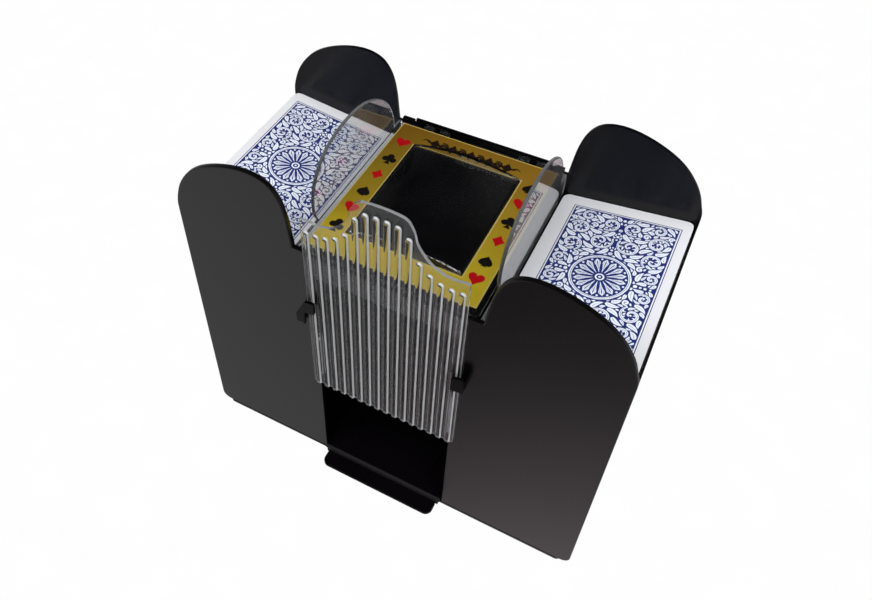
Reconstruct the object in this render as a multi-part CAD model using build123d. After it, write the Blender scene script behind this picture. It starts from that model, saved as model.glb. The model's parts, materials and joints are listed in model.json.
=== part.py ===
from build123d import *
import math
import os

# Automatic card shuffler: two raised card bays either side of a central chamber, a motor-driven
# roller set under each bay, a hinged lid, a tall front door and a catch tray.
# Millimetres.  +X right, +Y rear, +Z up.  The origin is the centre of the footprint, on the
# plane the base rests on.  Paired pieces are drawn on the right and mirrored to the left.

# ---------------------------------------------------------------- driving dimensions
# overall body
HALF_W = 108.0            # half width over the side walls
HALF_D = 52.0             # half depth over front and rear panels
PANEL_T = 2.2             # front and rear panel thickness
WALL_T = 1.4              # side wall thickness
SHOULDER_Z = 163.0        # panel top between the ears
WALL_TOP_Z = 154.5
CORNER_R = 5.0            # lower outer corner radius
BASE_T = 1.6              # base plate thickness
FLOOR_Z = 3.4             # raised floor inside the chamber
INNER_Y = HALF_D - PANEL_T        # inner faces of the panels
CORNER_X = HALF_W - CORNER_R      # centre of the lower corner arcs
EAR_X0 = 45.0             # inner foot of an ear
EAR_END_Z = 160.0         # outer foot of an ear
# right ear outline from its inner to its outer side: x, z
EAR = [(46.6, 177.0), (48.3, 185.2), (51.0, 191.4), (55.0, 195.8), (60.5, 198.0),
       (67.0, 198.4), (75.6, 196.9), (83.3, 194.2), (91.4, 189.9), (96.5, 185.7),
       (101.3, 179.8), (104.6, 173.8), (106.8, 167.4)]

# chamber and front opening
OPEN_HALF_W = 36.0
OPEN_TOP_Z = 150.0
CHAMBER_HALF_W = 38.6     # between the chamber walls
CHAMBER_WALL_T = 2.0

# bays
CARD_W = 61.0             # card short side, lies across the machine
CARD_L = 94.2             # card long side
CARD_R = 3.2              # card corner radius
TILT = math.radians(7.3)  # bay floor slope, down towards the chamber
DECK_X0 = 45.9            # inner edge of the loaded cards
DECK_REAR_Y = 49.5        # rear edge of the loaded cards
DECK_Z0 = 102.259087      # underside of the stack at its inner edge
DECK_T = 49.4             # stack height, measured vertically
TRAY_T = 2.0
TRAY_TOP = -0.8           # bay floor, vertically from the underside of the stack
TRAY_UNDER = TRAY_TOP - TRAY_T / math.cos(TILT)
GUIDE_X0, GUIDE_X1 = 43.2, 44.8   # inner bay wall
GUIDE_SLIT = 0.9          # gap under the bay wall that passes the lowest cards
GUIDE_FOOT_Z = 150.0      # the clear guide stands on a black wall here

# clearances
RUN_CLEAR = 0.05          # radial, running
PRESS_CLEAR = 0.01        # radial, fixed
TRAY_GAP = 0.03           # between the bay floor and what it touches
SEAT_GAP = 0.02           # between other seated faces

# screws through the base into the panel posts: x, y
SCREW_X = (98.0, 50.0)
SCREW_Y = INNER_Y - 4.0
BASE_SCREWS = [(side * x, y) for side in (1, -1) for x in SCREW_X for y in (-SCREW_Y, SCREW_Y)]
PAD_X, PAD_Y = 84.0, 40.0
PAD_T = 1.0

# battery bay
CELL_R = 13.1
CELL_L = 49.2
CELL_Y = 13.8
CELL_Z = 16.3
CELL_TOP = CELL_Z + CELL_R
BAY_X0, BAY_X1 = 44.8, 102.8
BAY_HALF_Y = 29.4
HOLDER_T = 1.4

# switch, on the rear panel
SW_X, SW_Z = 85.0, 52.0
SW_TAG_X = 3.0            # terminals, either side of the centre


# ---------------------------------------------------------------- helpers
def box(x0, x1, y0, y1, z0, z1):
    size = Box(abs(x1 - x0), abs(y1 - y0), z1 - z0)
    return Pos((x0 + x1) / 2, (y0 + y1) / 2, (z0 + z1) / 2) * size


def cyl_x(radius, y, z, x0, x1):
    return Pos((x0 + x1) / 2, y, z) * Rot(0, 90, 0) * Cylinder(radius, x1 - x0)


def cyl_y(radius, x, z, y0, y1):
    return Pos(x, (y0 + y1) / 2, z) * Rot(90, 0, 0) * Cylinder(radius, y1 - y0)


def cyl_z(radius, x, y, z0, z1):
    return Pos(x, y, (z0 + z1) / 2) * Cylinder(radius, z1 - z0)


def along_y(face, y0, y1):
    """Sketch drawn with x as X and y as Z, swept between y0 and y1."""
    y0, y1 = sorted((y0, y1))
    return Pos(0, y1, 0) * (Rot(90, 0, 0) * extrude(face, amount=y1 - y0))


def along_x(face, x0, x1):
    """Sketch drawn with x as Y and y as Z, swept from x0 to x1."""
    solid = extrude(face, amount=x1 - x0)
    return Pos(x0, 0, 0) * (Plane.YZ.location * solid)


def poly(points):
    return make_face(Polyline(*points, close=True))


def mirrored(points):
    """The outline points on the other side of the centre line, in reverse order."""
    return [(-x, z) for x, z in points[::-1]]


def flip(shape):
    return mirror(shape, about=Plane.YZ)


def soften(shape, edges, radii):
    """Fillet with the first radius of the list that the edges accept."""
    for radius in radii:
        # the kernel raises an error on a radius it can't fit; the next one is then tried
        try:
            out = fillet(edges, radius)
            if out.is_valid and out.volume > 0:
                return out
        except Exception:
            pass
    return shape


def edges_at(shape, axis, level):
    """Edges that lie wholly at one level of the axis, "Y" or "Z"."""
    return [e for e in shape.edges()
            if abs(getattr(e.bounding_box().min, axis) - level) < 1e-3
            and abs(getattr(e.bounding_box().max, axis) - level) < 1e-3]


def long_edges(shape):
    return [e for e in shape.edges() if e.length > 50]


def stack_z(x, offset=0.0):
    """Height of the underside of the right card stack at x, plus a vertical offset."""
    return DECK_Z0 + (x - DECK_X0) * math.tan(TILT) + offset


def sloped_face(x0, x1, top, bottom, side=1):
    """Band that follows the bay slope; top and bottom are offsets from the stack underside."""
    return poly([(side * x, stack_z(x, offset))
                 for x, offset in ((x0, top), (x1, top), (x1, bottom), (x0, bottom))])


def group(shapes):
    return Compound(children=[shape.solids()[0] for shape in shapes])


def save(name, shape):
    solids = shape.solids()
    out = solids[0] if len(solids) == 1 else Compound(children=list(solids))
    out.label = name
    export_step(out, "parts/%s.step" % name)


def save_pair(stem, shape):
    """Separate right and left files."""
    save("right_" + stem, shape)
    save("left_" + stem, flip(shape))


def save_both(name, shape):
    """One file that holds the right-hand solids and their mirror images."""
    save(name, Compound(children=list(shape.solids()) + list(flip(shape).solids())))


os.makedirs("parts", exist_ok=True)


# ---------------------------------------------------------------- panels and side walls
def corner_points(radius):
    """Right lower corner arc, from the wall round to the bottom."""
    z = BASE_T + CORNER_R
    reach = radius * math.sin(math.pi / 4)
    return [(CORNER_X + radius, z), (CORNER_X + reach, z - reach), (CORNER_X, z - radius)]


def panel_face():
    ear = [(EAR_X0, SHOULDER_Z)] + EAR + [(HALF_W, EAR_END_Z)]
    ear_left = mirrored(ear)
    corner = corner_points(CORNER_R)
    corner_left = mirrored(corner)
    return make_face([
        Line(ear_left[-1], ear[0]),
        Spline(*ear, tangents=[(0.12, 1.0), (0.0, -1.0)]),
        Line(ear[-1], corner[0]),
        ThreePointArc(*corner),
        Line(corner[-1], corner_left[0]),
        ThreePointArc(*corner_left),
        Line(corner_left[-1], ear_left[0]),
        Spline(*ear_left, tangents=[(0.0, 1.0), (0.12, -1.0)]),
    ])


def panel(end, opening):
    """Front (end -1) or rear (end 1) panel with its bay floor ledges and screw posts."""
    outer_y, inner_y = end * HALF_D, end * INNER_Y
    shape = along_y(panel_face(), outer_y, inner_y)
    shape = soften(shape, edges_at(shape, "Y", outer_y), (0.9, 0.7, 0.5, 0.3))
    shape = shape - opening
    post_y = end * SCREW_Y
    for side in (1, -1):
        ledge = sloped_face(48.0, 104.0, TRAY_UNDER - 0.05, TRAY_UNDER - 3.0, side)
        shape += along_y(ledge, inner_y, end * (INNER_Y - 1.6))
        for x in SCREW_X:
            x *= side
            post = cyl_z(3.6, x, post_y, BASE_T, 16.0)
            post += box(x - 1.2, x + 1.2, inner_y, end * (INNER_Y - 3.0), BASE_T, 16.0)
            shape += post - cyl_z(1.5, x, post_y, 0, 13.0)
    return shape


def side_wall():
    outer = corner_points(CORNER_R)
    inner = corner_points(CORNER_R - WALL_T)
    top_outer = (HALF_W, WALL_TOP_Z)
    top_inner = (inner[0][0], WALL_TOP_Z)
    wall = along_y(make_face([
        Line(top_outer, outer[0]),
        ThreePointArc(*outer),
        Line(outer[-1], inner[-1]),
        ThreePointArc(*inner[::-1]),
        Line(inner[0], top_inner),
        Line(top_inner, top_outer),
    ]), -INNER_Y, INNER_Y)
    top = [e for e in long_edges(wall) if e.bounding_box().min.Z > WALL_TOP_Z - 0.01]
    return soften(wall, top, (0.8, 0.5))


save("front_panel", panel(-1, box(-OPEN_HALF_W, OPEN_HALF_W, -HALF_D - 1, -INNER_Y + 1,
                                  0, OPEN_TOP_Z)))
save("rear_panel", panel(1, box(SW_X - 6.2, SW_X + 6.2, INNER_Y - 1, HALF_D + 1,
                                SW_Z - 9.7, SW_Z + 9.7)))
save_pair("side_wall", side_wall())


# ---------------------------------------------------------------- base
def base_plate():
    base = extrude(RectangleRounded(2 * (CORNER_X + 0.6), 2 * HALF_D, 3.0), amount=BASE_T)
    base += box(-38.4, 38.4, -INNER_Y + 0.2, INNER_Y - 0.2, BASE_T - 0.2, FLOOR_Z)
    # groove for the wires that cross the floor
    base -= box(-38.5, 38.5, 30.0, 33.6, FLOOR_Z - 1.5, FLOOR_Z + 1)
    for side in (1, -1):
        # battery opening, then the pad recesses
        base -= box(side * (BAY_X0 + 1.0), side * (BAY_X1 - 1.0), -27.8, 27.8, -1, BASE_T + 1)
        for y in (-PAD_Y, PAD_Y):
            base -= cyl_z(5.0, side * PAD_X, y, -1, PAD_T)
    for x, y in BASE_SCREWS:
        base -= cyl_z(1.6, x, y, -1, BASE_T + 1)
        base -= Pos(x, y, 0.6) * Cone(3.0, 1.6, 1.2)
    front_edges = [e for e in edges_at(base, "Z", BASE_T) if e.center().Y < -HALF_D + 0.5]
    return soften(base, front_edges, (0.3,))


def base_screw(x, y):
    """Countersunk screw with a cross slot, head down."""
    screw = Pos(x, y, 0.65) * Cone(2.85, 1.45, 1.1)
    screw += cyl_z(1.45, x, y, 1.0, 11.5)
    for dx, dy in ((1.7, 0.3), (0.3, 1.7)):
        screw -= box(x - dx, x + dx, y - dy, y + dy, -0.1, 0.75)
    return screw


save("base_plate", base_plate())
save("foot_pads", group([cyl_z(4.9, side * PAD_X, y, 0.0, PAD_T)
                         for side in (1, -1) for y in (-PAD_Y, PAD_Y)]))
save("base_screws", group([base_screw(x, y) for x, y in BASE_SCREWS]))


# ---------------------------------------------------------------- chamber walls
def chamber_wall():
    outer_x = CHAMBER_HALF_W + CHAMBER_WALL_T
    wall = box(CHAMBER_HALF_W, outer_x, -47.6, INNER_Y - 0.1, BASE_T, 98.4)
    # notch over the wire groove
    wall -= box(CHAMBER_HALF_W - 1, outer_x + 1, 29.4, 34.2, BASE_T - 1, FLOOR_Z + 0.2)
    for y in (-44.0, 0.0, 44.0):
        wall += box(outer_x - 0.1, outer_x + 3.2, y - 0.8, y + 0.8, BASE_T, 97.0)
    return wall


save_pair("chamber_wall", chamber_wall())

# ---------------------------------------------------------------- drive dimensions
# one set per bay; the axes stand one above another at x = SHAFT_X
SHAFT_X = 62.0
SHAFT_R = 1.5
ROLLER_R = 9.0
HUB_R = 6.4
ROLLER_W = 9.0
ROLLER_Y = (-17.0, 24.0)
GEAR_M = 0.5                      # module
N_ROLLER, N_IDLER_S, N_IDLER_B, N_PINION = 30, 14, 40, 12   # teeth
BRACKET_Y0, BRACKET_Y1 = -40.0, -38.0
PLATE_Y0, PLATE_Y1 = 38.0, 40.0   # gear plate
G1_Y0, G1_Y1 = 40.5, 43.5         # roller gear and small idler gear
G2_Y0, G2_Y1 = 44.0, 47.0         # large idler gear and motor pinion
HANG_X0, HANG_X1 = SHAFT_X - 12.5, SHAFT_X + 12.5   # width of gear plate and bracket
BUSH_R = 3.0
BUSH_COLLAR = 0.8
FLANGE_T = 2.0
FLANGE_SCREW_X = (-11.0, 11.0)    # from the shaft
FLANGE_SCREW_Y = (34.5, -34.8)    # gear plate, bracket
MOTOR_R = 10.0
MOTOR_SHAFT_R = 1.0
MOTOR_Y0 = 11.0
MOTOR_SCREW_X = (-6.5, 6.5)       # from the motor axis
MOTOR_TAG_X = 6.2                 # terminals, from the motor axis

SHAFT_Z = stack_z(SHAFT_X) - (ROLLER_R + 0.05) / math.cos(TILT)
IDLER_Z = SHAFT_Z - GEAR_M * (N_ROLLER + N_IDLER_S) / 2
MOTOR_Z = IDLER_Z - GEAR_M * (N_IDLER_B + N_PINION) / 2


# ---------------------------------------------------------------- bay floors
def card_tray():
    tray = along_y(sloped_face(39.2, HALF_W - WALL_T - 0.1, TRAY_TOP, TRAY_UNDER),
                   -INNER_Y + 0.1, INNER_Y - 0.1)
    # runners that carry the cards
    for y in (-36.0, -6.0, 8.0, 36.5):
        tray += along_y(sloped_face(46.0, 105.0, -TRAY_GAP, TRAY_TOP - 0.2), y - 0.7, y + 0.7)
    # windows for the rollers and the roller gear: half width, y0, y1
    reach = ROLLER_W / 2 + 0.8
    windows = [(10.4, y - reach, y + reach) for y in ROLLER_Y]
    for half, y0, y1 in windows + [(9.0, G1_Y0 - 0.4, G1_Y1 + 0.4)]:
        tray -= box(SHAFT_X - half, SHAFT_X + half, y0, y1, 95, 115)
    return tray


save_pair("card_tray", card_tray())

# ---------------------------------------------------------------- clear guides and bay walls
# arched top of the guide from front to rear: y, z
WING = [(-32.2, SHOULDER_Z), (-34.7, 167.5), (-35.6, 174.0), (-33.0, 186.0), (-27.0, 193.8),
        (-18.0, 198.7), (-8.0, 200.7), (2.0, 200.8), (13.0, 198.6), (24.0, 193.3), (32.6, 186.0),
        (38.6, 177.0), (41.6, 168.0), (42.0, SHOULDER_Z)]
GUIDE_HALF_Y = INNER_Y - 0.1
GUIDE_MID_X = (GUIDE_X0 + GUIDE_X1) / 2


def card_guide():
    """Clear guide with an arched wing above and a tongue below."""
    outline = [WING[-1], (GUIDE_HALF_Y, SHOULDER_Z), (GUIDE_HALF_Y, GUIDE_FOOT_Z),
               (-GUIDE_HALF_Y, GUIDE_FOOT_Z), (-GUIDE_HALF_Y, SHOULDER_Z), WING[0]]
    lines = [Line(a, b) for a, b in zip(outline, outline[1:])]
    guide = along_x(make_face([Spline(*WING)] + lines), GUIDE_X0, GUIDE_X1)
    arch = [e for e in guide.edges() if e.center().Z > 175 and e.length > 60
            and abs(e.bounding_box().size.X) < 1e-3]
    guide = soften(guide, arch, (0.55, 0.4, 0.25))
    guide += box(GUIDE_MID_X - 0.3, GUIDE_MID_X + 0.3, -46.0, 46.0,
                 GUIDE_FOOT_Z - 4.0, GUIDE_FOOT_Z + 0.1)
    return guide


def bay_wall():
    """Black wall below the guide, grooved for its tongue."""
    wall = box(GUIDE_X0, GUIDE_X1, -GUIDE_HALF_Y, GUIDE_HALF_Y,
               stack_z(GUIDE_X1, GUIDE_SLIT), GUIDE_FOOT_Z - 0.04)
    wall -= box(GUIDE_MID_X - 0.36, GUIDE_MID_X + 0.36, -46.3, 46.3,
                GUIDE_FOOT_Z - 4.2, GUIDE_FOOT_Z + 1)
    return wall


save_pair("card_guide", card_guide())
save_both("bay_walls", bay_wall())


# ---------------------------------------------------------------- cards
def card_deck():
    x0, x1 = DECK_X0, DECK_X0 + CARD_W * math.cos(TILT)
    body = along_y(sloped_face(x0, x1, DECK_T, 0.0), DECK_REAR_Y - CARD_L, DECK_REAR_Y)
    plan = Pos((x0 + x1) / 2, DECK_REAR_Y - CARD_L / 2, 90) * extrude(
        RectangleRounded(x1 - x0, CARD_L, CARD_R), amount=100)
    return body & plan


save_pair("card_deck", card_deck())


# ---------------------------------------------------------------- rollers
def turned(radius, z, y0, y1):
    """Cylinder along Y on one of the drive axes."""
    return cyl_y(radius, SHAFT_X, z, y0, y1)


def ring_points(count, radius, z, phase=0.0):
    """x, z of points evenly spaced round a drive axis."""
    angles = [2 * math.pi * k / count + phase for k in range(count)]
    return [(SHAFT_X + radius * math.cos(a), z + radius * math.sin(a)) for a in angles]


def roller_hub(y):
    y0, y1 = y - ROLLER_W / 2, y + ROLLER_W / 2
    hub = turned(HUB_R, SHAFT_Z, y0 + 0.4, y1 - 0.4)
    hub = hub - turned(SHAFT_R + PRESS_CLEAR, SHAFT_Z, y0 - 1, y1 + 1)
    for x, z in ring_points(5, 4.1, SHAFT_Z):
        hub -= cyl_y(1.0, x, z, y0 - 1, y1 + 1)
    return hub


def roller_tyre(y):
    """Tyre with rounded rims and two grooves."""
    y0, y1 = y - ROLLER_W / 2, y + ROLLER_W / 2
    tyre = turned(ROLLER_R, SHAFT_Z, y0, y1)
    tyre = tyre - turned(HUB_R + PRESS_CLEAR, SHAFT_Z, y0 - 1, y1 + 1)
    tyre = soften(tyre, long_edges(tyre), (0.7, 0.4))
    for groove_y in (y - 1.6, y + 1.6):
        ring = turned(ROLLER_R + 1, SHAFT_Z, groove_y - 0.35, groove_y + 0.35)
        tyre -= ring - turned(ROLLER_R - 0.6, SHAFT_Z, groove_y - 1, groove_y + 1)
    return tyre


save_pair("roller_shaft", turned(SHAFT_R, SHAFT_Z, -41.6, G1_Y1 + 0.1))
save_pair("roller_hubs", group([roller_hub(y) for y in ROLLER_Y]))
save_pair("roller_tyres", group([roller_tyre(y) for y in ROLLER_Y]))

# ---------------------------------------------------------------- gears
PRESSURE_ANGLE = math.radians(20)
ADDENDUM, DEDENDUM = 0.92, 1.25   # in modules
TOOTH_PLAY = 0.05                 # taken off each tooth at the pitch circle
FLANK_STEPS = 5
UP, DOWN = math.pi / 2, -math.pi / 2


def gear_face(teeth, phase, bore):
    """Involute spur gear outline, first tooth centred at phase."""
    pitch_r = GEAR_M * teeth / 2
    base_r = pitch_r * math.cos(PRESSURE_ANGLE)
    tip_r = pitch_r + GEAR_M * ADDENDUM
    root_r = pitch_r - GEAR_M * DEDENDUM

    def involute(radius):
        return math.sqrt(max((radius / base_r) ** 2 - 1, 0)) - math.acos(min(base_r / radius, 1))

    half_base = math.pi / (2 * teeth) - TOOTH_PLAY / (2 * pitch_r) + involute(pitch_r)
    start = max(base_r, root_r)
    flank = []                    # radius, angle from the tooth centre
    for i in range(FLANK_STEPS + 1):
        radius = start + (tip_r - start) * i / FLANK_STEPS
        flank.append((radius, half_base - involute(radius)))
    if root_r < base_r:
        flank.insert(0, (root_r, half_base - 0.35 * GEAR_M / base_r))
    outline = [(radius, -angle) for radius, angle in flank] + flank[::-1]
    points = []
    for k in range(teeth):
        centre = phase + 2 * math.pi * k / teeth
        for radius, angle in outline:
            points.append((radius * math.cos(centre + angle), radius * math.sin(centre + angle)))
    return poly(points) - Circle(bore)


def gear(teeth, phase, z, y0, y1, bore):
    return Pos(SHAFT_X, 0, z) * along_y(gear_face(teeth, phase, bore), y0, y1)


def idler_gear():
    bore = SHAFT_R + RUN_CLEAR
    idler = gear(N_IDLER_S, UP + math.pi / N_IDLER_S, IDLER_Z, G1_Y0, G1_Y1 + 0.5, bore)
    idler += gear(N_IDLER_B, DOWN, IDLER_Z, G2_Y0, G2_Y1, bore)
    for x, z in ring_points(5, 6.6, IDLER_Z, 0.3):
        idler -= cyl_y(1.5, x, z, G2_Y0 - 1, G2_Y1 + 1)
    return idler


# in each mesh a tooth of the upper gear points down into a gap of the lower one
save_pair("roller_gear", gear(N_ROLLER, DOWN, SHAFT_Z, G1_Y0, G1_Y1, SHAFT_R + PRESS_CLEAR))
save_pair("idler_gear", idler_gear())
save_pair("motor_pinion", gear(N_PINION, UP + math.pi / N_PINION, MOTOR_Z, G2_Y0, G2_Y1,
                               MOTOR_SHAFT_R + PRESS_CLEAR))
save_both("idler_axles", turned(SHAFT_R, IDLER_Z, PLATE_Y0, 47.6)
          + turned(2.2, IDLER_Z, 47.6, 48.4))


# ---------------------------------------------------------------- drive supports
def hanging_plate(lower, y0, y1):
    """Plate from the underside of the bay floor down to the lower outline points."""
    top = [(x, stack_z(x, TRAY_UNDER - TRAY_GAP)) for x in (HANG_X0, HANG_X1)]
    return along_y(poly(top + lower), y0, y1)


def flange(y0, y1):
    face = sloped_face(HANG_X0, HANG_X1, TRAY_UNDER - TRAY_GAP, TRAY_UNDER - FLANGE_T)
    return along_y(face, y0, y1)


def gear_plate():
    foot_z = MOTOR_Z - 12.0
    chamfer_z = foot_z + 4
    plate = hanging_plate([(HANG_X1, chamfer_z), (HANG_X1 - 4, foot_z), (HANG_X0 + 4, foot_z),
                           (HANG_X0, chamfer_z)], PLATE_Y0, PLATE_Y1)
    for radius, z in ((BUSH_R, SHAFT_Z), (SHAFT_R + PRESS_CLEAR, IDLER_Z), (3.1, MOTOR_Z)):
        plate -= turned(radius, z, 30, 50)
    for dx in MOTOR_SCREW_X:
        plate -= cyl_y(1.1, SHAFT_X + dx, MOTOR_Z, 30, 50)
    foot = flange(30.5, PLATE_Y0 + 0.1)
    foot -= box(SHAFT_X - 9.6, SHAFT_X + 9.6, 20, 33.0, 80, 120)
    plate = plate + foot
    for dx in FLANGE_SCREW_X:
        plate -= cyl_z(1.1, SHAFT_X + dx, FLANGE_SCREW_Y[0], 90, 120)
    return plate


def roller_bracket():
    lower = [(HANG_X1, SHAFT_Z), (SHAFT_X + 5.5, SHAFT_Z - 5.5),
             (SHAFT_X - 5.5, SHAFT_Z - 5.5), (HANG_X0, SHAFT_Z)]
    bracket = hanging_plate(lower, BRACKET_Y0, BRACKET_Y1)
    bracket -= turned(BUSH_R, SHAFT_Z, -45, -30)
    bracket += flange(BRACKET_Y1 - 0.1, -31.5)
    bracket -= turned(ROLLER_R + 0.6, SHAFT_Z, -37.9, -30)
    for dx in FLANGE_SCREW_X:
        bracket -= cyl_z(1.1, SHAFT_X + dx, FLANGE_SCREW_Y[1], 90, 120)
    return bracket


def shaft_bush(y0, y1, collar_y):
    bush = turned(BUSH_R - PRESS_CLEAR, SHAFT_Z, y0, y1)
    bush += turned(4.0, SHAFT_Z, collar_y, collar_y + BUSH_COLLAR)
    bush -= turned(SHAFT_R + RUN_CLEAR, SHAFT_Z, -50, 50)
    return bush


def bracket_screw(x, y):
    """Screw up through a flange into the bay floor."""
    z = stack_z(x, TRAY_UNDER - FLANGE_T)
    screw = cyl_z(1.0, x, y, z - 0.5, z + 1.6) + cyl_z(2.0, x, y, z - 1.7, z - 0.35)
    for dx, dy in ((1.4, 0.25), (0.25, 1.4)):
        screw -= box(x - dx, x + dx, y - dy, y + dy, z - 3, z - 1.1)
    return screw


def motor_screw(x):
    screw = cyl_y(1.0, x, MOTOR_Z, 37.0, 40.1)
    screw += cyl_y(1.9, x, MOTOR_Z, PLATE_Y1 + SEAT_GAP, 41.2)
    screw -= box(x - 1.3, x + 1.3, 40.8, 42, MOTOR_Z - 0.25, MOTOR_Z + 0.25)
    return screw


save_pair("gear_plate", gear_plate())
save_both("roller_brackets", roller_bracket())
save_both("shaft_bushes", group([shaft_bush(BRACKET_Y0, BRACKET_Y1, BRACKET_Y1),
                                 shaft_bush(PLATE_Y0, PLATE_Y1, PLATE_Y0 - BUSH_COLLAR)]))
save_both("bracket_screws", group([bracket_screw(SHAFT_X + dx, y)
                                   for dx in FLANGE_SCREW_X for y in FLANGE_SCREW_Y]))
save_both("motor_screws", group([motor_screw(SHAFT_X + dx) for dx in MOTOR_SCREW_X]))


# ---------------------------------------------------------------- motors
def motor_case():
    can = turned(MOTOR_R, MOTOR_Z, MOTOR_Y0 + 2.5, 37.9) + turned(3.0, MOTOR_Z, 37.8, 39.6)
    can -= turned(MOTOR_R - 0.9, MOTOR_Z, MOTOR_Y0, 36.9)
    can -= turned(MOTOR_SHAFT_R + RUN_CLEAR, MOTOR_Z, 30, 50)
    for dx in MOTOR_SCREW_X:
        can -= cyl_y(1.1, SHAFT_X + dx, MOTOR_Z, 36, 39)
    top = MOTOR_Z + MOTOR_R
    can -= box(SHAFT_X - 1.6, SHAFT_X + 1.6, 20, 27, top - 1.5, top + 1)
    return can


def motor_end_cap():
    """Front cap with a plug inside the can, a boss and two terminals."""
    cap = turned(MOTOR_R - 0.92, MOTOR_Z, MOTOR_Y0 + 1.0, MOTOR_Y0 + 4.5)
    cap += turned(MOTOR_R, MOTOR_Z, MOTOR_Y0 + 1.0, MOTOR_Y0 + 2.48)
    cap += turned(2.8, MOTOR_Z, MOTOR_Y0 - 0.4, MOTOR_Y0 + 1.2)
    cap -= turned(MOTOR_SHAFT_R + RUN_CLEAR, MOTOR_Z, 0, 30)
    for x in (SHAFT_X - MOTOR_TAG_X, SHAFT_X + MOTOR_TAG_X):
        cap += box(x - 1.2, x + 1.2, MOTOR_Y0 - 1.6, MOTOR_Y0 + 1.2, MOTOR_Z - 0.3, MOTOR_Z + 0.3)
    return cap


def motor_armature():
    """Shaft, three-slot core and commutator."""
    core = turned(7.6, MOTOR_Z, 19.0, 33.0)
    for k in range(3):
        angle = math.degrees(2 * math.pi * k / 3 + 0.2)
        slot = Rot(0, -angle, 0) * box(3.0, 9.0, 18, 34, -0.9, 0.9)
        core -= Pos(SHAFT_X, 0, MOTOR_Z) * slot
    armature = turned(MOTOR_SHAFT_R, MOTOR_Z, MOTOR_Y0 - 0.2, G2_Y1 + 0.2)
    armature += core + turned(2.6, MOTOR_Z, 16.4, 19.1)
    return armature


save_pair("motor_case", motor_case())
save_both("motor_end_caps", motor_end_cap())
save_pair("motor_armature", motor_armature())

# ---------------------------------------------------------------- battery bay
HOLDER_IN_X0, HOLDER_IN_X1 = BAY_X0 + HOLDER_T, BAY_X1 - HOLDER_T   # inside the end walls
CELL_X0 = HOLDER_IN_X0 + 5.0
CELL_X1 = CELL_X0 + CELL_L
CELL_SHIFT = 0.6                  # the rear cell sits this much further in
CONTACT_T = 0.4
SPRING_WIRE_R = 0.35
SPRING_SEAT = SEAT_GAP + CONTACT_T + 0.02   # spring end from the end wall


def battery_holder():
    """Open-bottomed box with a rib between the cells."""
    holder = box(BAY_X0, BAY_X1, -BAY_HALF_Y, BAY_HALF_Y, BASE_T + 0.05, CELL_TOP + 2.4)
    inner_y = BAY_HALF_Y - HOLDER_T
    holder -= box(HOLDER_IN_X0, HOLDER_IN_X1, -inner_y, inner_y, 0, CELL_TOP + 0.9)
    holder += box(BAY_X0 + 8, BAY_X1 - 8, -0.35, 0.35, CELL_Z + 3.0, CELL_TOP + 1.2)
    corners = [e for e in holder.edges() if e.bounding_box().size.Z > 20
               and abs(abs(e.center().Y) - BAY_HALF_Y) < 0.01]
    return soften(holder, corners, (1.5, 1.0))


def battery_cell(y):
    """Cell with its raised end outwards."""
    cell = cyl_x(CELL_R, y, CELL_Z, CELL_X0, CELL_X1 - 1.6)
    cell = soften(cell, long_edges(cell), (1.0, 0.6))
    cell += cyl_x(3.2, y, CELL_Z, CELL_X1 - 1.7, CELL_X1)
    return cell


def battery_contact(x, y):
    return box(x, x + CONTACT_T, y - 6, y + 6, CELL_Z - 7, CELL_Z + 7)


def battery_spring(x0, x1, y):
    height = x1 - x0 - 0.8
    path = Helix(pitch=height / 3.0, height=height, radius=4.2)
    profile = Plane(origin=path @ 0, z_dir=path % 0) * Circle(SPRING_WIRE_R)
    return Pos(x0 + 0.4, y, CELL_Z) * (Rot(0, 90, 0) * sweep(profile, path=path))


def battery_door():
    door = box(BAY_X0 + 1.3, BAY_X1 - 1.3, -27.5, 27.5, 0.0, BASE_T - 0.05)
    for k in range(5):            # grip grooves
        y = -22.0 + k * 2.0
        door -= box(66.0, 82.0, y - 0.4, y + 0.4, -0.5, 0.4)
    for y in (-20.0, 20.0):       # raised tabs
        door += box(BAY_X0 + 1.9, BAY_X0 + 3.1, y - 4, y + 4, BASE_T - 0.3, BASE_T + 1.0)
    return door


# the rear cell is turned end for end; a spring presses on the flat end of each cell
rear_cell = Pos(CELL_X0 + CELL_X1 - CELL_SHIFT, 0, 0) * flip(battery_cell(CELL_Y))
save_pair("battery_holder", battery_holder())
save_both("battery_cells", group([battery_cell(-CELL_Y), rear_cell]))
save_both("battery_contacts", group([
    battery_contact(x, y) for y in (-CELL_Y, CELL_Y)
    for x in (HOLDER_IN_X0 + SEAT_GAP, HOLDER_IN_X1 - SEAT_GAP - CONTACT_T)]))
save_both("battery_springs", group([
    battery_spring(HOLDER_IN_X0 + SPRING_SEAT, CELL_X0 - 0.05, -CELL_Y),
    battery_spring(CELL_X1 - CELL_SHIFT + 0.05, HOLDER_IN_X1 - SPRING_SEAT, CELL_Y)]))
save_pair("battery_door", battery_door())

# ---------------------------------------------------------------- switch
PIVOT_Y = HALF_D - 2.6
BEZEL_Y = HALF_D + 1.4
# rocker section, drawn with its face towards +Z and the pivot at the origin
ROCKER = [(-3.2, -3.0), (3.2, -3.0), (7.3, 2.2), (7.6, 5.6), (0.0, 4.4), (-7.2, 4.9), (-7.3, 2.2)]


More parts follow.
